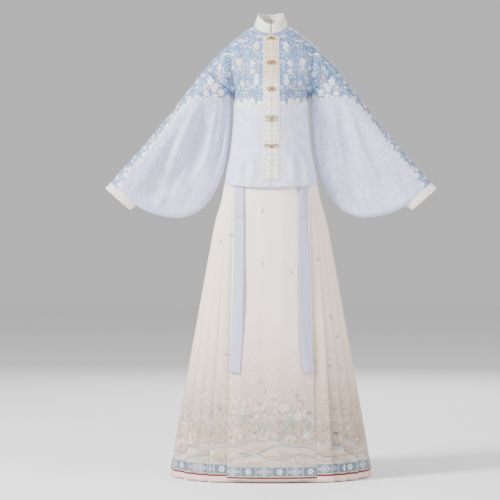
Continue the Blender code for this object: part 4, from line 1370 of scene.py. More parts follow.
class ThreadWork:
    """Geometry Nodes trees that sew along paths: a row of stitches, or a corded piping."""

    def __init__(self) -> None:
        """Builds both trees."""
        self.stitches = self.stitch_tree()
        self.piping = self.piping_tree()

    @staticmethod
    def new_tree(name: str,
                 sizes: dict[str, float]) -> tuple[bpy.types.NodeTree, bpy.types.Node, bpy.types.Node]:
        """A tree with a path, named sizes and a material as its inputs.

        Args:
            name: The tree's name.
            sizes: Each size's name and usual value.

        Returns:
            The tree, its input node and its output node.
        """
        tree = bpy.data.node_groups.new(name, "GeometryNodeTree")
        tree.interface.new_socket("Path", in_out="INPUT", socket_type="NodeSocketGeometry")
        for size, value in sizes.items():
            socket = tree.interface.new_socket(size, in_out="INPUT", socket_type="NodeSocketFloat")
            socket.default_value = value
        tree.interface.new_socket("Material", in_out="INPUT", socket_type="NodeSocketMaterial")
        tree.interface.new_socket("Sewn", in_out="OUTPUT", socket_type="NodeSocketGeometry")
        return tree, tree.nodes.new("NodeGroupInput"), tree.nodes.new("NodeGroupOutput")

    @staticmethod
    def close_tree(tree: bpy.types.NodeTree, start: bpy.types.Node, end: bpy.types.Node,
                   result: Socket) -> None:
        """Ends a tree in Realize Instances and Set Material.

        Args:
            tree: The tree.
            start: Its input node.
            end: Its output node.
            result: What it has made so far.
        """
        real = add_node(tree, "GeometryNodeRealizeInstances", {0: result})
        inputs = {"Geometry": real.outputs[0], "Material": start.outputs["Material"]}
        feed(tree, end.inputs[0], add_node(tree, "GeometryNodeSetMaterial", inputs).outputs[0])

    def stitch_tree(self) -> bpy.types.NodeTree:
        """Builds a row of short threads, lying along a path at an even spacing.

        Returns:
            The tree.
        """
        tree, start, end = self.new_tree("stitch_row", {"Spacing": .0040, "Length": .0026, "Radius": .00035})
        path, spacing, length, radius = start.outputs[:4]
        even = add_node(tree, "GeometryNodeResampleCurve", {"Curve": path, "Length": spacing}, mode="LENGTH")
        thread = add_node(tree, "GeometryNodeMeshUVSphere", {"Segments": 6, "Rings": 4, "Radius": 1.0})
        half = add_node(tree, "ShaderNodeMath", {0: length, 1: .5}, operation="MULTIPLY")
        size = add_node(tree, "ShaderNodeCombineXYZ", {0: radius, 1: radius, 2: half.outputs[0]})
        tangent = add_node(tree, "GeometryNodeInputTangent", {})
        turn = add_node(tree, "FunctionNodeAlignRotationToVector", {"Vector": tangent.outputs[0]}, axis="Z")
        inputs = {"Points": even.outputs[0], "Instance": thread.outputs["Mesh"], "Rotation": turn.outputs[0],
                  "Scale": size.outputs[0]}
        sown = add_node(tree, "GeometryNodeInstanceOnPoints", inputs)
        self.close_tree(tree, start, end, sown.outputs[0])
        return tree

    def piping_tree(self) -> bpy.types.NodeTree:
        """Builds a thin round cord along a path.

        Returns:
            The tree.
        """
        tree, start, end = self.new_tree("piping", {"Radius": .0008})
        path, radius = start.outputs[:2]
        ring = add_node(tree, "GeometryNodeCurvePrimitiveCircle", {"Resolution": 8, "Radius": radius})
        inputs = {"Curve": path, "Profile Curve": ring.outputs[0], "Fill Caps": True}
        swept = add_node(tree, "GeometryNodeCurveToMesh", inputs)
        self.close_tree(tree, start, end, swept.outputs[0])
        return tree

    def sew(self, name: str, tree: bpy.types.NodeTree, paths: Iterable[np.ndarray],
            material: bpy.types.Material, **sizes: float) -> bpy.types.Object:
        """Runs a tree along paths.

        Args:
            name: The piece's name.
            tree: The tree.
            paths: Lines of places.
            material: The thread's material.
            **sizes: Sizes of the tree, by name.

        Returns:
            The piece as a plain mesh object.
        """
        curve = bpy.data.curves.new(name + "_path", "CURVE")
        curve.dimensions = "3D"
        for path in paths:
            spline = curve.splines.new("POLY")
            spline.points.add(len(path) - 1)
            spline.points.foreach_set("co", np.column_stack([path, np.ones(len(path))]).ravel())
        holder = add_object(name + "_path", curve)
        modifier = holder.modifiers.new("sew", "NODES")
        modifier.node_group = tree
        values = {size.capitalize(): value for size, value in sizes.items()} | {"Material": material}
        for item in tree.interface.items_tree:
            if item.in_out == "INPUT" and item.name in values:
                modifier[item.identifier] = values[item.name]
        graph = bpy.context.evaluated_depsgraph_get()
        mesh = bpy.data.meshes.new_from_object(holder.evaluated_get(graph), depsgraph=graph)
        bpy.data.objects.remove(holder, do_unlink=True)
        mesh.name = name
        if not mesh.materials:
            mesh.materials.append(material)
        mesh.shade_smooth()
        return add_object(name, mesh)


class Workroom:
    """What every sub-assembly shares: its finishes, its thread trees and how a piece is handed over."""

    def __init__(self) -> None:
        """Makes the finishes."""
        self.threads = ThreadWork()
        self.body_damask = DamaskFinish("jacket_damask").material()
        self.sleeve_damask = DamaskFinish("sleeve_damask", ground="C4C9E8", shade="B5BBDE",
                                          flower="D4D8EE").material()
        self.brocade = BrocadeFinish("ivory_brocade").material()
        self.skirt = SkirtFinish("skirt_cloth").material()
        # The pleats' cloth: the skirt cloth in darker, warmer tones as painted shade, with its hem bands set
        # higher as the pleats' own
        self.shaded_pleat_cloth = SkirtFinish("pleated_cloth_painted_shade", top="F6E4D6", middle="F0DAC8", low="AA9480", band_low=.0240,
                                 band_high=.0530, line_low=.0165, line_high=.0220).material()
        self.ribbon = PlainFinish("ribbon_silk", "B3B2D4", "C0BFDC").material()
        self.cotton = PlainFinish("band_cotton", "E8E7E2", "F1F0EC").material()
        self.white_thread = CordFinish("white_thread", "EDE9E1", "F8F5EF").material()
        self.lilac_thread = CordFinish("lilac_thread", "B9BDD2", "CDD0E0").material()
        self.gilt = GiltFinish("aged_gilt").material()
        self.silk = SilkFinish().material()

    def hand_over(self, piece: bpy.types.Object, slot: str, *nodes: str) -> bpy.types.Object:
        """Puts a finished piece on the dress.

        Args:
            piece: The piece.
            slot: The record's material slot; not used.
            *nodes: Solids that it stands for.

        Returns:
            The same piece.
        """
        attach(piece, BODY)
        if nodes:
            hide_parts(*nodes)
        LOG.info("%s: %d faces", piece.name, len(piece.data.polygons))
        return piece

    def sew(self, name: str, slot: str, tree: bpy.types.NodeTree, paths: Iterable[np.ndarray],
            thread: bpy.types.Material, **sizes: float) -> None:
        """Sews thread work onto the dress.

        Args:
            name: The piece's name.
            slot: The record's material slot.
            tree: Stitches or piping.
            paths: Lines of places.
            thread: Its finish.
            **sizes: Sizes of the tree, by name.
        """
        self.hand_over(self.threads.sew(name, tree, paths, thread, **sizes), slot)

    def pipe(self, name: str, paths: Iterable[np.ndarray]) -> None:
        """Pipes edges of the brocade bands in white."""
        self.sew(name, "ivory_brocade", self.threads.piping, paths, self.white_thread, radius=PIPING_RADIUS)

    def cloth(self, name: str, chart: ClothChart, wall: float, material: bpy.types.Material, slot: str,
              node: str, held: Held, rests_on: Sequence[str]) -> bpy.types.Object:
        """Makes a cloth from its chart.

        Args:
            name: The piece's name.
            chart: The cloth.
            wall: Its thickness.
            material: Its finish.
            slot: The record's material slot.
            node: The solid that it stands for.
            held: How it is held up; not used.
            rests_on: What holds it; not used.

        Returns:
            The piece.
        """
        mesh = chart.mesh(name)
        mesh.materials.append(material)
        piece = add_object(name, mesh)
        shell = piece.modifiers.new("wall", "SOLIDIFY")
        shell.thickness = wall
        shell.offset = 0
        self.hand_over(piece, slot, node)
        return piece


class JoinRing:
    """The ring where a sleeve joins the jacket."""

    top = np.array([JOIN_TOP[0], 0, JOIN_TOP[1]])
    foot = np.array([JOIN_FOOT[0], 0, JOIN_FOOT[1]])
    middle = (top + foot) / 2
    radius = (top - foot) / 2
    arm = np.array([radius[2], 0, -radius[0]]) / np.linalg.norm(radius)

    @classmethod
    def point(cls, angle: float, side: int) -> np.ndarray:
        """A point at an angle from the ring's top, on the front (-1) or the back (+1)."""
        depth = np.array([0, side * JOIN_HALF_DEPTH * math.sin(angle), 0])
        return cls.middle + cls.radius * math.cos(angle) + depth


class JacketForm:
    """One half of the jacket as a surface: front, shoulder, upper arm and back in one cloth."""

    SEAM_GAP = .0003
    JOIN_BLEND = .012
    NORMAL_STEPS = (.004, .001)
    FOLD_STRENGTH = 1.5
    SAMPLES = 260

    def __init__(self, side: Side) -> None:
        """Sets up the half.

        Args:
            side: Which half it is.
        """
        self.side = side
        self.controls = self.control_rows()
        self.knots = path_lengths(self.controls.mean(axis=1))
        self.length = float(self.knots[-1])
        self.first_join = self.knots[len(JACKET_ROWS)]
        self.last_join = self.knots[len(JACKET_ROWS) + len(UPPER_FRONT_ROWS) + len(UPPER_BACK_ROWS)]
        self.shoulder = self.knots[len(JACKET_ROWS) + len(UPPER_FRONT_ROWS)]
        self.throat = self.knots[len(JACKET_ROWS) + list(UPPER_FRONT_ROWS).index("front_throat")]
        back_throat = list(UPPER_BACK_ROWS).index("back_throat")
        self.neck_end = self.knots[len(JACKET_ROWS) + len(UPPER_FRONT_ROWS) + 1 + back_throat]
        self.front_lengths = np.linspace(0, self.throat, self.SAMPLES)
        self.front_heights = self.sheet(np.zeros(self.SAMPLES), self.front_lengths)[:, 2]

    @staticmethod
    def upper(row: UpperRow, side: int) -> tuple[np.ndarray, ...]:
        """Works out a row that ends on the sleeve's join.

        Args:
            row: The row.
            side: The front (-1) or the back (+1).

        Returns:
            Its four control points.
        """
        inner = np.array([row.in_x, row.in_y, row.in_z])
        outer = JoinRing.point(math.radians(row.join_angle), side)
        lead = np.array([0, row.lead_y, 0]) - JoinRing.arm * row.lead
        return inner, inner + [row.reach, 0, row.reach_z], outer + lead, outer

    @staticmethod
    def lower(row: JacketRow) -> tuple[np.ndarray, ...]:
        """Works out a row below the armpit.

        Args:
            row: The row.

        Returns:
            Its four control points.
        """
        inner, outer = np.array([row.in_x, row.in_y, row.in_z]), np.array([row.out_x, row.out_y, row.out_z])
        lead = outer + [row.lead_x, row.lead_y, row.lead_z]
        return inner, inner + [row.reach, 0, row.reach_z], lead, outer

    def control_rows(self) -> np.ndarray:
        """Works out every row, from the front hem over to the back hem.

        Returns:
            Four control points for each.
        """
        rows = [self.lower(row) for row in JACKET_ROWS.values()]
        rows += [self.upper(row, -1) for row in (*UPPER_FRONT_ROWS.values(), SHOULDER_ROW)]
        rows += [self.upper(row, 1) for row in UPPER_BACK_ROWS.values()]
        for name, depth in BACK_DEPTHS.items():
            row = JACKET_ROWS["front_" + name]
            rows.append(self.lower(row._replace(in_y=depth, lead_y=-row.lead_y * depth / abs(row.in_y))))
        return np.array(rows)

    def sheet(self, u: np.ndarray, v: np.ndarray) -> np.ndarray:
        """Places on the plain right half.

        Args:
            u: Shares across, from the inner to the outer edge.
            v: Lengths along, from the front hem over to the back hem.

        Returns:
            The places.
        """
        u, v = np.broadcast_arrays(np.asarray(u, float), np.asarray(v, float))
        c = smooth_values(self.knots, self.controls.reshape(len(self.knots), 12), v.ravel())
        c = c.reshape(v.shape + (4, 3))
        t = u[..., None]
        points = ((1 - t) ** 3 * c[..., 0, :] + 3 * t * (1 - t) ** 2 * c[..., 1, :]
                  + 3 * t * t * (1 - t) * c[..., 2, :] + t ** 3 * c[..., 3, :])
        past = np.maximum((points - JoinRing.middle) @ JoinRing.arm + self.SEAM_GAP / 2, 0)
        joined = (v > self.first_join - self.JOIN_BLEND) & (v < self.last_join + self.JOIN_BLEND)
        return points - np.where(joined, past, 0)[..., None] * JoinRing.arm

    def point(self, u: np.ndarray, v: np.ndarray, lift: np.ndarray | float = 0.0) -> np.ndarray:
        """Places on the folded right half.

        Args:
            u: Shares across, from the inner to the outer edge.
            v: Lengths along, from the front hem over to the back hem.
            lift: How far off the cloth's middle, outward.

        Returns:
            The places, on the right side whichever half this is.
        """
        u, v = np.broadcast_arrays(np.asarray(u, float), np.asarray(v, float))
        step_u, step_v = self.NORMAL_STEPS
        points = self.sheet(u, v)
        across = self.sheet(np.minimum(u + step_u, 1), v) - self.sheet(np.maximum(u - step_u, 0), v)
        along = self.sheet(u, np.minimum(v + step_v, self.length)) - self.sheet(u, np.maximum(v - step_v, 0))
        normals = np.cross(across, along)
        normals /= np.linalg.norm(normals, axis=-1, keepdims=True)
        inside = smoothstep(0, .12, u) * (1 - smoothstep(.93, 1, u))
        x, z = points[..., 0], points[..., 2]
        front = crease_rise(JACKET_FINE[self.side], x, z)
        fine = np.where(v < self.shoulder, front, crease_rise(JACKET_BACK, x, z))
        rise = crease_rise(JACKET_MAIN, x, z) + fine * self.FOLD_STRENGTH * smoothstep(.026, .045, x)
        return points + normals * (rise * inside + lift)[..., None]

    def share_at(self, x: float, v: float) -> float:
        """The share u at which the row at v is x metres from the middle."""
        shares = np.linspace(0, .45, 60)
        return float(np.interp(x, self.sheet(shares, np.full(60, v))[:, 0], shares))

    def front_length_at(self, z: float) -> float:
        """The length v at which the centre front is at a height."""
        return float(np.interp(z, self.front_heights, self.front_lengths))

    def front_place(self, x: float, z: float, lift: float) -> np.ndarray:
        """A place near the centre front.

        Args:
            x: How far it is from the middle.
            z: Its height.
            lift: How far off the cloth's middle it is.

        Returns:
            The place.
        """
        v = self.front_length_at(z)
        place = self.point(np.array(self.share_at(abs(x), v)), np.array(v), np.array(lift))
        return place * [math.copysign(1, x), 1, 1]


@dataclass
class Jacket:
    """The jacket's two halves, its stand collar and its plackets."""

    room: Workroom
    wall: float = .0012
    rows: int = 250
    columns: int = 64
    front_slit: float = .0010
    yoke_edge: float = -.232
    scallop_depth: float = .013
    scallop_width: float = .048
    collar_wall: float = .0016
    collar_slit: float = .0040
    collar_rise: float = .0010
    collar_top: tuple[float, float, float] = (.0386, .050, -.003)
    collar_height: tuple[float, float, float] = (.0240, .0195, .0160)
    collar_rows: int = 12
    placket_wall: float = .0010
    placket_width: float = .0232
    placket_gap: float = .0004
    placket_foot: float = -.478
    placket_top_gap: float = .002
    placket_rows: int = 150
    placket_columns: int = 8
    hem_width: float = .009
    hem_inset: float = .004
    forms: dict[Side, JacketForm] = field(default_factory=lambda: {side: JacketForm(side) for side in Side})
    charts: dict[Side, ClothChart] = field(default_factory=dict)

    def mirrored(self, side: Side, points: np.ndarray) -> np.ndarray:
        """Right-side places on a side."""
        return points * [side.value, 1, 1]

    def chart(self, side: Side) -> ClothChart:
        """Makes one half, its columns evenly spaced along each row.

        Args:
            side: Which half.

        Returns:
            The cloth.
        """
        form = self.forms[side]
        lengths = np.linspace(0, form.length, self.rows)
        dense = np.linspace(0, 1, 3 * self.columns)
        u, v = np.meshgrid(dense, lengths)
        points = form.point(u, v)
        edge = np.where(lengths < form.length / 2, self.front_slit / 2, form.SEAM_GAP / 2)
        points[..., 0] = np.maximum(points[..., 0], edge[:, None])
        even = []
        for row in points:
            run = path_lengths(row)
            at = np.linspace(0, run[-1], self.columns)
            even.append(np.stack([np.interp(at, run, row[:, i]) for i in range(3)], axis=1))
        chart = ClothChart(self.mirrored(side, np.array(even)), lengths, flip=side is Side.LEFT)
        x, z = np.abs(chart.points[..., 0]), chart.points[..., 2]
        scallop = np.abs(np.cos(np.pi * chart.across / self.scallop_width)) * self.scallop_depth
        chart.tags["yoke"] = z - self.yoke_edge + scallop - smoothstep(.05, .12, x) * .008
        return chart

    def build_halves(self) -> None:
        """Both halves."""
        for side in Side:
            chart = self.charts[side] = self.chart(side)
            self.room.cloth("jacket_cloth_" + side.word, chart, self.wall, self.room.body_damask,
                            "lavender_damask", "jacket_" + side.word, Held.HUNG, ["stand_collar"])

    def build_collar(self) -> None:
        """The stand collar, one band round the neckline, piped along its top."""
        form = self.forms[Side.RIGHT]
        lengths = np.linspace(form.throat, form.neck_end, 60)
        foot = form.point(np.zeros(60), lengths) + [0, 0, self.collar_rise]
        turn = path_lengths(foot) / path_lengths(foot)[-1] * math.pi
        width, depth, middle = self.collar_top
        rise_all, rise_back, rise_side = self.collar_height
        top = np.stack([width * np.sin(turn), middle - depth * np.cos(turn),
                        rise_all - rise_back * np.cos(turn) + rise_side * np.sin(turn) ** 2], axis=-1)
        rows = []
        for share in np.linspace(0, 1, self.collar_rows):
            ring = foot + (top - foot) * share
            ring[:, :2] *= 1 + .024 * math.sin(math.pi * share)
            ring[:, 0] = np.maximum(ring[:, 0], 0)
            ring[0, 0] = self.collar_slit / 2
            rows.append(np.concatenate([ring, (ring * [-1, 1, 1])[-2::-1]]))
        chart = ClothChart(np.array(rows)).centre_across()
        chart.tags["tan"] = np.zeros(chart.across.shape)
        self.room.cloth("collar_band", chart, self.collar_wall, self.room.brocade, "ivory_brocade",
                        "stand_collar", Held.STRETCHED, ["jacket_right", "jacket_left"])
        edges = [chart.points[-1], chart.points[0] + chart.normals[0] * .0006]
        self.room.pipe("collar_piping", edges)

    def build_plackets(self) -> None:
        """The two front bands, piped along both edges."""
        offset = self.wall / 2 + self.placket_gap + self.placket_wall / 2
        paths = []
        for side in Side:
            form = self.forms[side]
            foot = form.front_length_at(self.placket_foot)
            lengths = np.linspace(foot, form.throat - self.placket_top_gap, self.placket_rows)
            shares = np.array([np.linspace(0, form.share_at(self.placket_width, v), self.placket_columns)
                               for v in lengths])
            points = form.point(shares, np.broadcast_to(lengths[:, None], shares.shape), np.array(offset))
            points[..., 0] = np.maximum(points[..., 0], self.front_slit / 2)
            chart = ClothChart(self.mirrored(side, points), flip=side is Side.LEFT)
            chart.tags["tan"] = np.broadcast_to(smoothstep(-.210, -.150, points[..., 2]), chart.across.shape)
            self.room.cloth("placket_band_" + side.word, chart, self.placket_wall, self.room.brocade,
                            "ivory_brocade", "placket_" + side.word, Held.STRETCHED, ["jacket_" + side.word])
            edge = chart.points + chart.normals * .0004
            paths += [edge[:, -1], edge[:, 1] * .35 + edge[:, 0] * .65]
        self.room.pipe("placket_piping", paths)

    def build_stitching(self) -> None:
        """Stitch rows along the hems."""
        paths = []
        for side in Side:
            chart = self.charts[side]
            for along in (self.hem_width, float(chart.along[-1]) - self.hem_width):
                width = float(np.interp(along, chart.along, chart.across[:, -1]))
                across = np.linspace(self.hem_inset, width - self.hem_inset, 90)
                paths.append(chart.place(across, np.full(90, along), self.wall / 2 + STITCH_LIFT))
        self.room.sew("jacket_hem_stitches", "lavender_damask", self.room.threads.stitches, paths,
                      self.room.lilac_thread)

    def build_needlework(self) -> None:
        """Figures over the yoke, front and back, alike on both sides."""
        pale, pink, green = tone("D3D8E2"), tone("D4B3B4"), tone("A2B5A2")
        gold, lilac, red = tone("D9C08E"), tone("A9A6CC"), tone("9A4E49")
        for side in Side:
            work = Needlework(self.charts[side])
            for back in (False, True):
                find = self.charts[side].find
                for x, z, size, turn in YOKE_BLOSSOMS:
                    work.blossom(find(x, z, back), size * .82, turn, pale if turn < 1 else pink, gold)
                for x, z, length, turn in YOKE_SPRAYS:
                    work.spray(find(x, z, back), turn, length, lilac, green, pale)
                for x, z, size, turn in YOKE_CLOUDS:
                    work.cloud(find(x, z, back), size, turn, pale, red)
                for x, z, size, turn in YOKE_RED_CLOUDS:
                    work.cloud(find(x, z, back), size, turn, red, lilac)
                for x in (.036, .058, .080, .102):
                    at = find(x, -.236 + .006 * math.cos(x * 90), back)
                    work.blossom(at, .0085, x * 40, tone("EFEFDC"), green, 6)
            piece = work.object("yoke_needlework_" + side.word, self.room.silk)
            self.room.hand_over(piece, "lavender_damask")

    def build(self) -> None:
        """Everything on the body of the jacket."""
        self.build_halves()
        self.build_collar()
        self.build_plackets()
        self.build_stitching()
        self.build_needlework()


@dataclass
class Sleeves:
    """The two pipa sleeves and their cuffs."""

    room: Workroom
    wall: float = .0012
    cuff_wall: float = .0016
    rows: int = 130
    around: int = 120
    fold_strength: float = 1.5
    join_gap: float = .0012
    cuff_gap: float = .0010
    cuff_rows: int = 12
    yoke_edge: float = -.214
    band_width: float = .034
    scallop_depth: float = .010
    scallop_width: float = .042
    charts: dict[Side, ClothChart] = field(default_factory=dict)

    @staticmethod
    def edge(points: Sequence[EdgePoint], share: float) -> np.ndarray:
        """The place at a share of the length of a smooth edge."""
        knots = path_lengths(np.array(points))
        return smooth_values(knots, np.array(points), share * knots[-1])

    @staticmethod
    def half_depth(distance: np.ndarray, length: float, row: SleeveRow) -> np.ndarray:
        """Half thickness of a ring.

        Args:
            distance: How far below the upper edge.
            length: The ring's height.
            row: Its depths.

        Returns:
            The half thickness at each distance.
        """
        arm = row.arm * np.sqrt(np.clip(1 - (1 - distance / row.arm_at) ** 2, 0, 1))
        slack = row.hang + (row.arm - row.hang) * (1 - smoothstep(0, row.fade, distance - row.arm_at))
        last = np.clip((distance - (length - row.round_end)) / row.round_end, 0, 1)
        return np.where(distance < row.arm_at, arm, slack) * np.sqrt(1 - last ** 2)

    def ring(self, share: float, side: Side) -> np.ndarray:
        """One ring, from the lower edge up the back, over the top and down the front.

        Args:
            share: How far along the sleeve.
            side: Whose fine folds it has.

        Returns:
            The ring's places on the right side, the last on the first.
        """
        upper, lower = self.edge(SLEEVE_UPPER, share), self.edge(SLEEVE_LOWER, share)
        alongs = column(SLEEVE_DEPTHS, "along")
        row = SleeveRow(*(float(smooth_values(alongs, column(SLEEVE_DEPTHS, name), share))
                          for name in SleeveRow._fields))
        length = float(np.linalg.norm(lower - upper))
        turn = np.linspace(-math.pi, math.pi, self.around + 1)
        distance = (1 - np.cos(turn)) / 2 * length
        facing = np.where(turn >= 0, -1, 1)
        plane = upper + (lower - upper) * (distance / length)[:, None]
        depth = self.half_depth(distance, length, row)
        middle = smoothstep(.03, .08, distance) * smoothstep(0, .03, length - distance)
        ends = float(smoothstep(0, .12, share) * (1 - smoothstep(.9, 1, share)))
        sway = -crease_rise(SLEEVE_MAIN, plane[:, 0], plane[:, 1])
        front = -crease_rise(SLEEVE_FINE[side], plane[:, 0], plane[:, 1]) * self.fold_strength
        back = crease_rise(SLEEVE_BACK, plane[:, 0], plane[:, 1]) * self.fold_strength
        sway = (sway + np.where(facing < 0, front, back)) * middle * ends
        return np.stack([plane[:, 0], row.middle_y + facing * depth + sway, plane[:, 1]], axis=-1)

    def build_sleeve(self, side: Side) -> None:
        """Builds a sleeve, with the yoke's end and the overarm band marked on it.

        Args:
            side: Which sleeve.
        """
        shares = np.linspace(0, 1, self.rows)
        rings = np.array([self.ring(float(share), side) for share in shares])
        rings[0] += JoinRing.arm * self.join_gap
        middles = (rings[:, self.around // 2] + rings[:, 0]) / 2
        chart = ClothChart(rings * [side.value, 1, 1], path_lengths(middles), flip=side is Side.LEFT,
                           closed=True)
        chart.across = chart.across - chart.across[:, self.around // 2][:, None]
        scallop = np.abs(np.cos(np.pi * chart.along / self.scallop_width))[:, None] * self.scallop_depth
        yoke = chart.points[..., 2] - self.yoke_edge + np.abs(np.cos(chart.across * 75)) * self.scallop_depth
        band = self.band_width - np.abs(chart.across) + scallop
        chart.tags["yoke"] = np.maximum(yoke, band)
        self.charts[side] = chart
        self.room.cloth("sleeve_cloth_" + side.word, chart, self.wall, self.room.sleeve_damask,
                        "lavender_damask", "sleeve_" + side.word, Held.HUNG, ["jacket_cloth_" + side.word])

    def build_cuff(self, side: Side) -> None:
        """Builds a cuff, piped at both edges.

        Args:
            side: Which cuff.
        """
        upper, lower = np.array(SLEEVE_UPPER[-1]), np.array(SLEEVE_LOWER[-1])
        out_upper, out_lower = np.array(CUFF_UPPER), np.array(CUFF_LOWER)
        turn = np.linspace(-math.pi, math.pi, self.around + 1)
        drop = ((1 - np.cos(turn)) / 2)[:, None]
        end = SLEEVE_DEPTHS[-1]
        depth = end.middle_y - np.sin(turn) * end.arm
        seam, edge = upper + (lower - upper) * drop, out_upper + (out_lower - out_upper) * drop
        step = (edge - seam) / np.linalg.norm(edge - seam, axis=1, keepdims=True)
        rows = []
        for share in np.linspace(0, 1, self.cuff_rows):
            place = seam + step * self.cuff_gap + (edge - seam - step * self.cuff_gap) * share
            swell = (depth - end.middle_y) * (1 + .020 * math.sin(math.pi * share))
            rows.append(np.stack([place[:, 0], end.middle_y + swell, place[:, 1]], axis=-1))
        chart = ClothChart(np.array(rows) * [side.value, 1, 1], flip=side is Side.LEFT, closed=True)
        chart.tags["tan"] = np.zeros(chart.across.shape)
        self.room.cloth("cuff_band_" + side.word, chart, self.cuff_wall, self.room.brocade, "ivory_brocade",
                        "cuff_" + side.word, Held.STRETCHED, ["sleeve_cloth_" + side.word])
        edges = [chart.points[0] + chart.normals[0] * .0006, chart.points[-1]]
        self.room.pipe("cuff_piping_" + side.word, edges)

    def build_needlework(self, side: Side) -> None:
        """Sews white clusters and sprays along the overarm band, and tonal ones low on the bag.

        Args:
            side: Which sleeve.
        """
        work = Needlework(self.charts[side])
        chart = self.charts[side]
        pale, gold, green = tone("DCDFE6"), tone("C8B482"), tone("A4B4A8")
        lilac, red, tonal = tone("A9B4CE"), tone("9A4E49"), tone("D0D5EA")
        length = float(chart.along[-1])
        for k in range(9):
            along = length * (.10 + .098 * k)
            for face in (1, -1):
                across = face * (.018 + .011 * math.sin(k * 2.3 + face))
                work.blossom((across, along), .0086 + .0016 * math.sin(k * 3.1), k * .9, pale, gold)
                work.blossom((across + face * .013, along + .015), .0052, k * 1.7, tone("E2E3DA"), green)
                turn = 1.2 * face + .3 * k
                work.spray((across - face * .006, along + .010), turn, .030, lilac, green, pale)
                if k % 3 == 1:
                    work.petal((face * .034, along + .020), k * .8, .010, .0016, red)
                    work.petal((face * .036, along + .022), k * .8 + 1.1, .008, .0014, red)
        for x, z, size, turn in SHOULDER_BLOSSOMS:
            for back in (False, True):
                work.blossom(chart.find(x, z, back), size, turn, pale, gold)
                work.spray(chart.find(x - .012, z - .004, back), turn + .8, .026, lilac, green, pale)
        for x, z, size, _ in BAG_BLOSSOMS:
            for back in (False, True):
                at = chart.find(x, z, back)
                work.blossom(at, size * .75, x * 40, tonal, tone("BFC6DE"))
                work.spray((at[0] + .014, at[1] - .006), x * 30, size * 1.9, tonal, tonal, tonal)
        piece = work.object("sleeve_needlework_" + side.word, self.room.silk)
        self.room.hand_over(piece, "lavender_damask")

    def build(self) -> None:
        """Both sleeves."""
        for side in Side:
            self.build_sleeve(side)
            self.build_cuff(side)
            self.build_needlework(side)


@dataclass
class Clasps:
    """Five open scrollwork clasps, bent to the fronts under them."""

    room: Workroom
    forms: dict[Side, JacketForm]
    base: float = .0025
    wire: float = .00085
    sides: int = 8
    places: tuple[tuple[str, float, Pattern], ...] = (
        ("clasp_1", -.0400, Pattern.NARROW),
        ("clasp_2", -.1180, Pattern.SCROLL),
        ("clasp_3", -.2000, Pattern.SCROLL),
        ("clasp_4", -.2900, Pattern.ANTLER),
        ("clasp_5", -.3740, Pattern.CRESCENT),
    )
    ring_radius: float = 4.2
    ring_points: int = 28
    button: tuple[Place, ...] = ((2.9, 0.0), (2.7, .9), (2.0, 1.7), (1.1, 2.2), (.3, 2.4))
    button_points: int = 20

    def on_front(self, x: float, z: float, lift: float) -> np.ndarray:
        """A place on the plackets, moved out by a lift over them."""
        side = Side.RIGHT if x >= 0 else Side.LEFT
        return self.forms[side].front_place(x, z, self.base + lift)

    def tube(self, path: np.ndarray, radii: np.ndarray, places: list, faces: list,
             closed: bool = False) -> None:
        """Adds a round wire along a path.

        Args:
            path: Its middle line.
            radii: Its radius at each point.
            places: The mesh's places so far.
            faces: The mesh's faces so far.
            closed: Whether it is a ring.
        """
        run = np.gradient(path, axis=0)
        if closed:
            run = np.roll(path, -1, axis=0) - np.roll(path, 1, axis=0)
        run /= np.linalg.norm(run, axis=1, keepdims=True)
        out = np.array([0.0, -1.0, 0.0])
        aside = np.cross(run, out)
        aside /= np.linalg.norm(aside, axis=1, keepdims=True)
        up = np.cross(aside, run)
        start = len(places)
        angles = np.linspace(0, TAU, self.sides, endpoint=False)
        for p, a, b, r in zip(path, aside, up, radii):
            places.extend(p + r * (math.cos(t) * a + math.sin(t) * b) for t in angles)
        count = len(path)
        for i in range(count if closed else count - 1):
            for j in range(self.sides):
                here, after = start + i * self.sides, start + (i + 1) % count * self.sides
                k = (j + 1) % self.sides
                faces.append((here + j, after + j, after + k, here + k))
        if not closed:
            faces.append(tuple(start + j for j in range(self.sides)))
            faces.append(tuple(start + (count - 1) * self.sides + j for j in reversed(range(self.sides))))

    def smooth_path(self, points: Sequence[Place]) -> np.ndarray:
        """A smooth stroke through points, in metres."""
        knots = path_lengths(np.array(points))
        return smooth_values(knots, np.array(points), np.linspace(0, knots[-1], 6 * len(points))) * MM

    def build_clasp(self, name: str, height: float, pattern: Pattern) -> None:
        """One clasp: a ring, a domed button and mirrored strokes.

        Args:
            name: The solid that it stands for.
            height: Its height on the front.
            pattern: Its strokes.
        """
        places: list[np.ndarray] = []
        faces: list[tuple[int, ...]] = []
        for stroke in pattern.value:
            flat = self.smooth_path(stroke)
            for sign in (1, -1):
                path = np.array([self.on_front(sign * x, height + z, self.wire) for x, z in flat])
                radii = self.wire * (1.15 - .45 * np.linspace(0, 1, len(path)) ** 2)
                self.tube(path, radii, places, faces)
        turn = np.linspace(0, TAU, self.ring_points, endpoint=False)
        spots = headings(math.pi / 2 - turn) * self.ring_radius * MM
        ring = np.array([self.on_front(x, height + z, self.wire * 1.2) for x, z in spots])
        self.tube(ring, np.full(self.ring_points, self.wire * 1.25), places, faces, closed=True)
        start, count = len(places), self.button_points
        around = headings(np.linspace(0, TAU, count, endpoint=False)) * MM
        for radius, rise in self.button:
            places.extend(self.on_front(x, height + z, rise * MM) for x, z in around * radius)
        for i in range(len(self.button) - 1):
            for j in range(count):
                k = (j + 1) % count
                here, after = start + i * count, start + (i + 1) * count
                faces.append((here + j, here + k, after + k, after + j))
        faces.append(tuple(start + (len(self.button) - 1) * count + j for j in range(count)))
        mesh = bpy.data.meshes.new(name + "_scrollwork")
        mesh.from_pydata([tuple(p) for p in places], [], faces)
        mesh.materials.append(self.room.gilt)
        mesh.shade_smooth()
        self.room.hand_over(add_object(name + "_scrollwork", mesh), "gilt_metal", name)

    def build(self) -> None:
        """All five clasps."""
        for name, height, pattern in self.places:
            self.build_clasp(name, height, pattern)


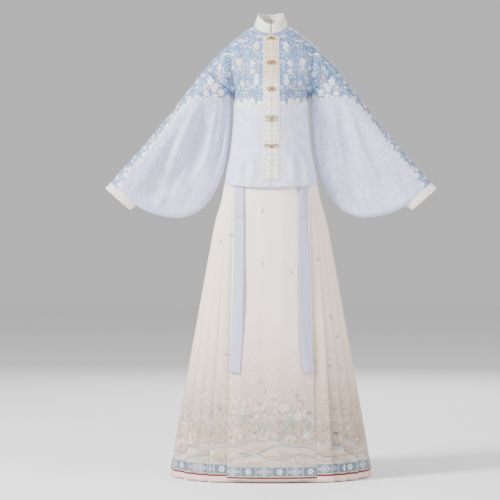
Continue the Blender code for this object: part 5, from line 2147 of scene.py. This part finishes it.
class SkirtPlan:
    """The skirt's plan at one height."""

    TOP = -.440
    HEM = SKIRT_HEM
    ROUNDNESS = 2.2
    WALL = .0010
    CLEARANCE = .0012
    SHARES = ((.20, .40, .60, .80, 1.00), (.178, .324, .502, .790, 1.00))
    SAMPLES = 400
    STEP = .0015

    def __init__(self, z: float) -> None:
        """Works out the plan.

        Args:
            z: The height.
        """
        self.z = z
        heights = -column(SKIRT_ROWS, "z")
        self.row = SkirtRow(*(float(smooth_values(heights, column(SKIRT_ROWS, name), -z))
                              for name in SkirtRow._fields))
        turn = np.linspace(0, math.pi / 2, self.SAMPLES)
        power = 2 / self.ROUNDNESS
        self.line = np.stack([self.row.half_width * np.sin(turn) ** power,
                              -self.row.half_depth * np.cos(turn) ** power], axis=-1)
        self.lengths = path_lengths(self.line)
        self.panel_edge = float(np.interp(self.row.half_panel, self.line[:, 0], self.lengths))
        self.quarter = float(self.lengths[-1] - self.panel_edge)
        down = float(np.clip((self.TOP - z) / (self.TOP - self.HEM), 0, 1))
        self.shares = np.array(self.SHARES[0]) * (1 - down) + np.array(self.SHARES[1]) * down
        self.down = down

    def point(self, length: np.ndarray, lift: np.ndarray | float) -> np.ndarray:
        """Places near the inner line.

        Args:
            length: Lengths along it from the centre front.
            lift: How far outside it.

        Returns:
            The places.
        """
        length = np.asarray(length, float)
        x, y = (np.interp(np.abs(length), self.lengths, self.line[:, i]) for i in (0, 1))
        before = np.maximum(np.abs(length) - self.STEP, 0)
        after = np.minimum(np.abs(length) + self.STEP, self.lengths[-1])
        run_x, run_y = (np.interp(after, self.lengths, self.line[:, i])
                        - np.interp(before, self.lengths, self.line[:, i]) for i in (0, 1))
        size = np.hypot(run_x, run_y)
        sign = np.where(length < 0, -1, 1)
        flat = np.stack([(x + run_y / size * lift) * sign, y - run_x / size * lift], axis=-1)
        return np.concatenate([flat, np.full(flat.shape[:-1] + (1,), self.z)], axis=-1)

    def panel_lift(self) -> float:
        """How far out a flat panel lies."""
        first = self.shares[0] * self.quarter
        return self.row.rise * self.row.lap / (first + self.row.lap) + self.WALL + self.CLEARANCE


@dataclass
class Skirt:
    """The wrap skirt: flat panels, knife pleats, waistband and ribbon ties."""

    room: Workroom
    wall: float = .0010
    pleat_wall: float = .0008
    band_wall: float = .0030
    band_top: float = -.375
    seam_gap: float = .0003
    panel_hem: float = -1.377
    panel_seam_gap: float = .0008
    levels: int = 120
    panel_columns: int = 72
    side_gap: float = .0014
    fold_radius: float = .0008
    face_points: int = 9
    pleat_sway: float = .0022
    print_starts: tuple[float, float] = (.110, 2.610)
    tie_width: float = .029
    tie_top: float = TIE_TOP
    tie_fold: float = -.590
    tie_end: float = TIE_END
    tie_lift: float = .0010
    tie_gap: float = .0009
    tie_flare: float = .0025
    tie_columns: int = 14
    panels: dict[str, ClothChart] = field(default_factory=dict)

    def heights(self, hem: float) -> np.ndarray:
        """Levels from the hem up to the waist."""
        return np.linspace(hem, SkirtPlan.TOP - self.seam_gap, self.levels)

    def build_panel(self, name: str, hem: float, outer: bool, back: bool) -> None:
        """A flat panel.

        Args:
            name: The solid that it stands for.
            hem: Height of its hem.
            outer: Whether it lies over the pleats' start.
            back: Whether it is behind.
        """
        rows = []
        for z in self.heights(hem):
            plan = SkirtPlan(float(z))
            half = plan.panel_edge if outer else plan.panel_edge - plan.row.lap - self.panel_seam_gap
            lengths = np.linspace(-half, half, self.panel_columns)
            sign = -1 if back else 1
            soft = crease_rise(PANEL_CREASES, lengths * sign, np.full(self.panel_columns, z))
            soft = soft * (1 - smoothstep(.80, 1.0, np.abs(lengths) / half)) * smoothstep(0, .12, plan.down)
            lift = plan.panel_lift() if outer else 0.0
            rows.append(plan.point(lengths, lift + soft * (1 if outer else .4)) * [1, sign, 1])
        chart = ClothChart(np.array(rows), self.heights(hem) - hem, flip=back).centre_across()
        self.panels[name] = chart
        self.room.cloth(name + "_cloth", chart, self.wall, self.room.skirt, "skirt_cloth", name,
                        Held.HUNG, ["waistband_cloth"])

    def pleat_path(self, plan: SkirtPlan, side: Side) -> list[tuple[float, float]]:
        """Lengths and lifts of the pleated line, from the front panel to the side line.

        Args:
            plan: The skirt's plan at the level.
            side: Whose uneven folds it has.

        Returns:
            A length along the inner line and a lift off it for each point.
        """
        row, start, r = plan.row, plan.panel_edge, self.fold_radius
        turn = np.linspace(math.pi / 2, -math.pi / 2, 5)
        path = [(start - row.lap, 0.0)]
        valley = start - row.lap
        for number, share in enumerate(plan.shares):
            sway = self.pleat_sway * plan.down * math.sin(plan.z * (7 + number) + number * 2.1 + side.value)
            crest = start + share * plan.quarter
            if number == len(plan.shares) - 1:
                crest -= self.side_gap / 2 + self.wall / 2
            else:
                crest += sway
            shares = np.linspace(0, 1, self.face_points + 2)[1:-1]
            soft = .0012 * plan.down * math.sin(plan.z * 9 + number * 1.7 + side.value * .8)
            for t in shares:
                swell = math.sin(math.pi * t)
                lift = row.rise * t * (1 + .06 * swell) + soft * swell
                path.append((valley + t * (crest - r - valley), lift))
            path.extend((crest - r + r * math.cos(a), row.rise - r + r * math.sin(a)) for a in turn)
            valley = crest - row.lap
            high = row.rise - 2 * r
            low = min(2 * r, high)
            path.extend((crest - r - t * (row.lap - 2 * r), high * (1 - t) + low * t) for t in (.33, .67))
            path.extend((valley + r - r * math.cos(a), low / 2 + low / 2 * math.sin(a)) for a in turn)
        return path

    def build_pleats(self, side: Side) -> None:
        """Builds a pleated side: ten knife pleats turned from both panels to the side line.

        Args:
            side: Which side.
        """
        rows, folds = [], []
        heights = self.heights(SkirtPlan.HEM)
        for z in heights:
            plan = SkirtPlan(float(z))
            path = np.array(self.pleat_path(plan, side))
            front = plan.point(path[:, 0], path[:, 1])
            rows.append(np.concatenate([front, (front * [1, -1, 1])[::-1]]) * [side.value, 1, 1])
            # How much painted shade each point gets: full in the valleys under the crests, none at the crests
            fold = smoothstep(.20, .72, 1 - path[:, 1] / plan.row.rise)
            folds.append(np.concatenate([fold, fold[::-1]]))
        start = self.print_starts[side is Side.LEFT]
        chart = ClothChart(np.array(rows), heights - SkirtPlan.HEM, start=start, flip=side is Side.LEFT)
        chart.tags["fold"] = np.array(folds)
        self.room.cloth("pleats_cloth_" + side.word, chart, self.pleat_wall, self.room.shaded_pleat_cloth, "skirt_cloth",
                        "pleats_" + side.word, Held.FOLDED, ["waistband_cloth"])

    def build_waistband(self) -> None:
        """The waistband, a plain band that the cloths hang from."""
        rows = []
        for z in np.linspace(SkirtPlan.TOP, self.band_top, 10):
            plan = SkirtPlan(float(z))
            lengths = np.linspace(-plan.lengths[-1], plan.lengths[-1], 61)
            front = plan.point(lengths, plan.panel_lift() + self.wall / 2 - self.band_wall / 2)
            rows.append(np.concatenate([front, (front * [1, -1, 1])[-2::-1]]))
        chart = ClothChart(np.array(rows), closed=True)
        self.room.cloth("waistband_cloth", chart, self.band_wall, self.room.cotton, "white_cotton",
                        "skirt_waistband", Held.STRETCHED, ["jacket_right", "jacket_left"])

    def build_tie(self, name: str, side: Side, end: float, layer: int, flare: float) -> None:
        """A ribbon that hangs in front of the panel.

        Args:
            name: The solid that it stands for.
            side: Its side.
            end: Height of its lower end.
            layer: How many ribbons lie under it.
            flare: How much wider each half is at its end.
        """
        heights = -column(TIE_ROUTE, "z")
        levels = np.linspace(end, self.tie_top, 90 if layer == 0 else 40)
        rows = []
        for z in levels:
            x, lift = (float(smooth_values(heights, column(TIE_ROUTE, name_), -z)) for name_ in ("x", "lift"))
            plan = SkirtPlan(float(z))
            free = float(1 - smoothstep(self.tie_top - .05, self.tie_top, z))
            out = plan.panel_lift() + self.wall + self.tie_gap + (self.tie_lift + lift) * free
            out += layer * (self.wall + self.tie_gap)
            middle = float(np.interp(x, plan.line[:, 0], plan.lengths))
            half = self.tie_width / 2 + flare * float(smoothstep(self.tie_top, end, z))
            spread = np.linspace(-1, 1, self.tie_columns)
            wave = .0012 * np.sin(spread * 2.2 + z * 11 + side.value)
            wave = (wave + .0010 * math.sin(z * 26 + side.value * 2)) * free
            rows.append(plan.point(middle + half * spread, out + np.maximum(wave, -.0008)))
        points = np.array(rows)
        if layer == 0:
            slant = np.linspace(-.003, .003, self.tie_columns)
            points[..., 2] += slant * (1 - smoothstep(0, .05, levels - end))[:, None]
        chart = ClothChart(points * [side.value, 1, 1], levels - end, flip=side is Side.LEFT)
        self.room.cloth(name + "_ribbon", chart, self.wall, self.room.ribbon, "lavender_ribbon", name,
                        Held.HUNG, ["waistband_cloth"])
        paths = [chart.points[:, c] + chart.normals[:, c] * .0006 for c in (1, -2)]
        paths.append(chart.points[2, 1:-1] + chart.normals[2, 1:-1] * .0006)
        self.room.sew(name + "_stitches", "lavender_ribbon", self.room.threads.stitches, paths,
                      self.room.lilac_thread, spacing=.0034, length=.0022, radius=.00022)

    def build_edge_stitches(self) -> None:
        """Stitch rows down the edges of the front and back panels."""
        paths = []
        for name in ("skirt_front_outer", "skirt_back_outer"):
            chart = self.panels[name]
            along = np.linspace(.006, float(chart.along[-1]) - .06, 240)
            for sign in (-1, 1):
                half = np.interp(along, chart.along, chart.across[:, -1])
                paths.append(chart.place(sign * (half - .005), along, self.wall / 2 + STITCH_LIFT))
        self.room.sew("panel_stitches", "skirt_cloth", self.room.threads.stitches, paths,
                      self.room.white_thread, radius=.0003)

    def build_needlework(self, name: str) -> None:
        """Figures over the waves on a flat panel.

        Args:
            name: The panel.
        """
        chart = self.panels[name]
        work = Needlework(chart)
        pale, pink, blue, grey = tone("CFC3BC"), tone("CFA298"), tone("6F809A"), tone("87929A")
        green, red, brown = tone("84977F"), tone("84322B"), tone("64554F")
        for across, along, size, turn in PANEL_BLOSSOMS:
            work.blossom((across, along), size, turn, pale if turn < 1 else pink, blue)
            work.blossom((across + size * 1.5, along - size), size * .45, turn, blue, pale)
        for across, along, length, turn in PANEL_SPRAYS:
            work.spray((across, along), turn - .45, length, brown, green, pale)
        for clouds, tint, edge in ((PANEL_RED_CLOUDS, red, red), (PANEL_BLUE_CLOUDS, blue, pale),
                                   (PANEL_GREY_CLOUDS, grey, pale)):
            for across, along, size, turn in clouds:
                work.cloud((across, along), size, turn, tint, edge)
        for k in range(5):
            middle = (-.100 + .050 * k, .054 + .007 * math.sin(k * 1.9))
            for ring in range(3):
                reach = (.020 - .005 * ring, .022 - .006 * ring)
                arc = np.array(middle) + headings(np.linspace(.15, 3.0, 14)) * reach
                work.strip(arc, np.full(14, .0008), pale if ring % 2 else grey)
        piece = work.object(name + "_needlework", self.room.silk)
        self.room.hand_over(piece, "skirt_cloth")

    def build(self) -> None:
        """The whole skirt."""
        self.build_waistband()
        for name, outer, hem in (("outer", True, self.panel_hem), ("inner", False, SkirtPlan.HEM)):
            self.build_panel("skirt_front_" + name, hem, outer, False)
            self.build_panel("skirt_back_" + name, hem, outer, True)
        for side in Side:
            self.build_pleats(side)
            self.build_tie("tie_long_" + side.word, side, self.tie_end, 0, self.tie_flare)
            self.build_tie("tie_fold_" + side.word, side, self.tie_fold, 1, 0.0)
        self.build_edge_stitches()
        self.build_needlework("skirt_front_outer")
        self.build_needlework("skirt_back_outer")


@dataclass
class Studio:
    """A pale floor, soft light and the camera."""

    floor_height: float = -1.386
    floor_size: float = 36.0
    eye: tuple[float, float, float] = (-.065, -6.0, -.690)
    focal: float = 139.35
    sensor: float = 36.0
    sky: float = .62

    def build_floor(self) -> None:
        """The floor."""
        half = self.floor_size / 2
        mesh = bpy.data.meshes.new("studio_floor")
        corners = [(x * half, y * half, self.floor_height) for x, y in ((-1, -1), (1, -1), (1, 1), (-1, 1))]
        mesh.from_pydata(corners, [], [(0, 1, 2, 3)])
        board = Board("floor_paint")
        board.shader.inputs["Base Color"].default_value = tone("F4F4F4")
        board.shader.inputs["Roughness"].default_value = .9
        mesh.materials.append(board.material)
        add_object("studio_floor", mesh)

    def build_light(self, name: str, place: tuple[float, float, float], size: float, power: float) -> None:
        """A soft square light aimed at the middle of the dress.

        Args:
            name: The light's name.
            place: Where it stands.
            size: Its side.
            power: Its power in watts.
        """
        data = bpy.data.lights.new(name, "AREA")
        data.shape = "SQUARE"
        data.size = size
        data.energy = power
        lamp = add_object(name, data)
        lamp.location = place
        aim = Vector((0, 0, -.7)) - lamp.location
        lamp.rotation_euler = aim.to_track_quat("-Z", "Y").to_euler()

    def build_camera(self) -> None:
        """The camera at the photograph's angle."""
        data = bpy.data.cameras.new("camera")
        data.sensor_width = self.sensor
        data.lens = self.focal
        data.clip_end = 100
        camera = add_object("camera", data)
        camera.location = self.eye
        camera.rotation_euler = (math.pi / 2, 0, 0)
        bpy.context.scene.camera = camera

    def build(self) -> None:
        """The whole studio."""
        world = bpy.context.scene.world or bpy.data.worlds.new("world")
        bpy.context.scene.world = world
        world.use_nodes = True
        back = world.node_tree.nodes["Background"]
        back.inputs["Color"].default_value = (1, 1, 1, 1)
        back.inputs["Strength"].default_value = self.sky
        self.build_floor()
        self.build_light("key_light", (-3.9, -2.3, 2.0), 1.2, 640.0)
        self.build_light("side_light", (4.2, -2.4, .9), 1.6, 130.0)
        self.build_light("fill_light", (.8, -4.6, .8), 2.6, 60.0)
        self.build_light("back_light", (.6, 4.0, 1.4), 2.4, 120.0)
        self.build_camera()


def main() -> None:
    """Builds the dress and its studio."""
    logging.basicConfig(level=logging.INFO, format="%(name)s: %(message)s")
    for old in list(bpy.context.scene.objects):
        if "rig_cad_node" not in old and old.type in ("CAMERA", "LIGHT"):
            bpy.data.objects.remove(old, do_unlink=True)
    room = Workroom()
    jacket = Jacket(room)
    jacket.build()
    Sleeves(room).build()
    Clasps(room, jacket.forms).build()
    Skirt(room).build()
    Studio().build()


if __name__ == "__main__":
    main()
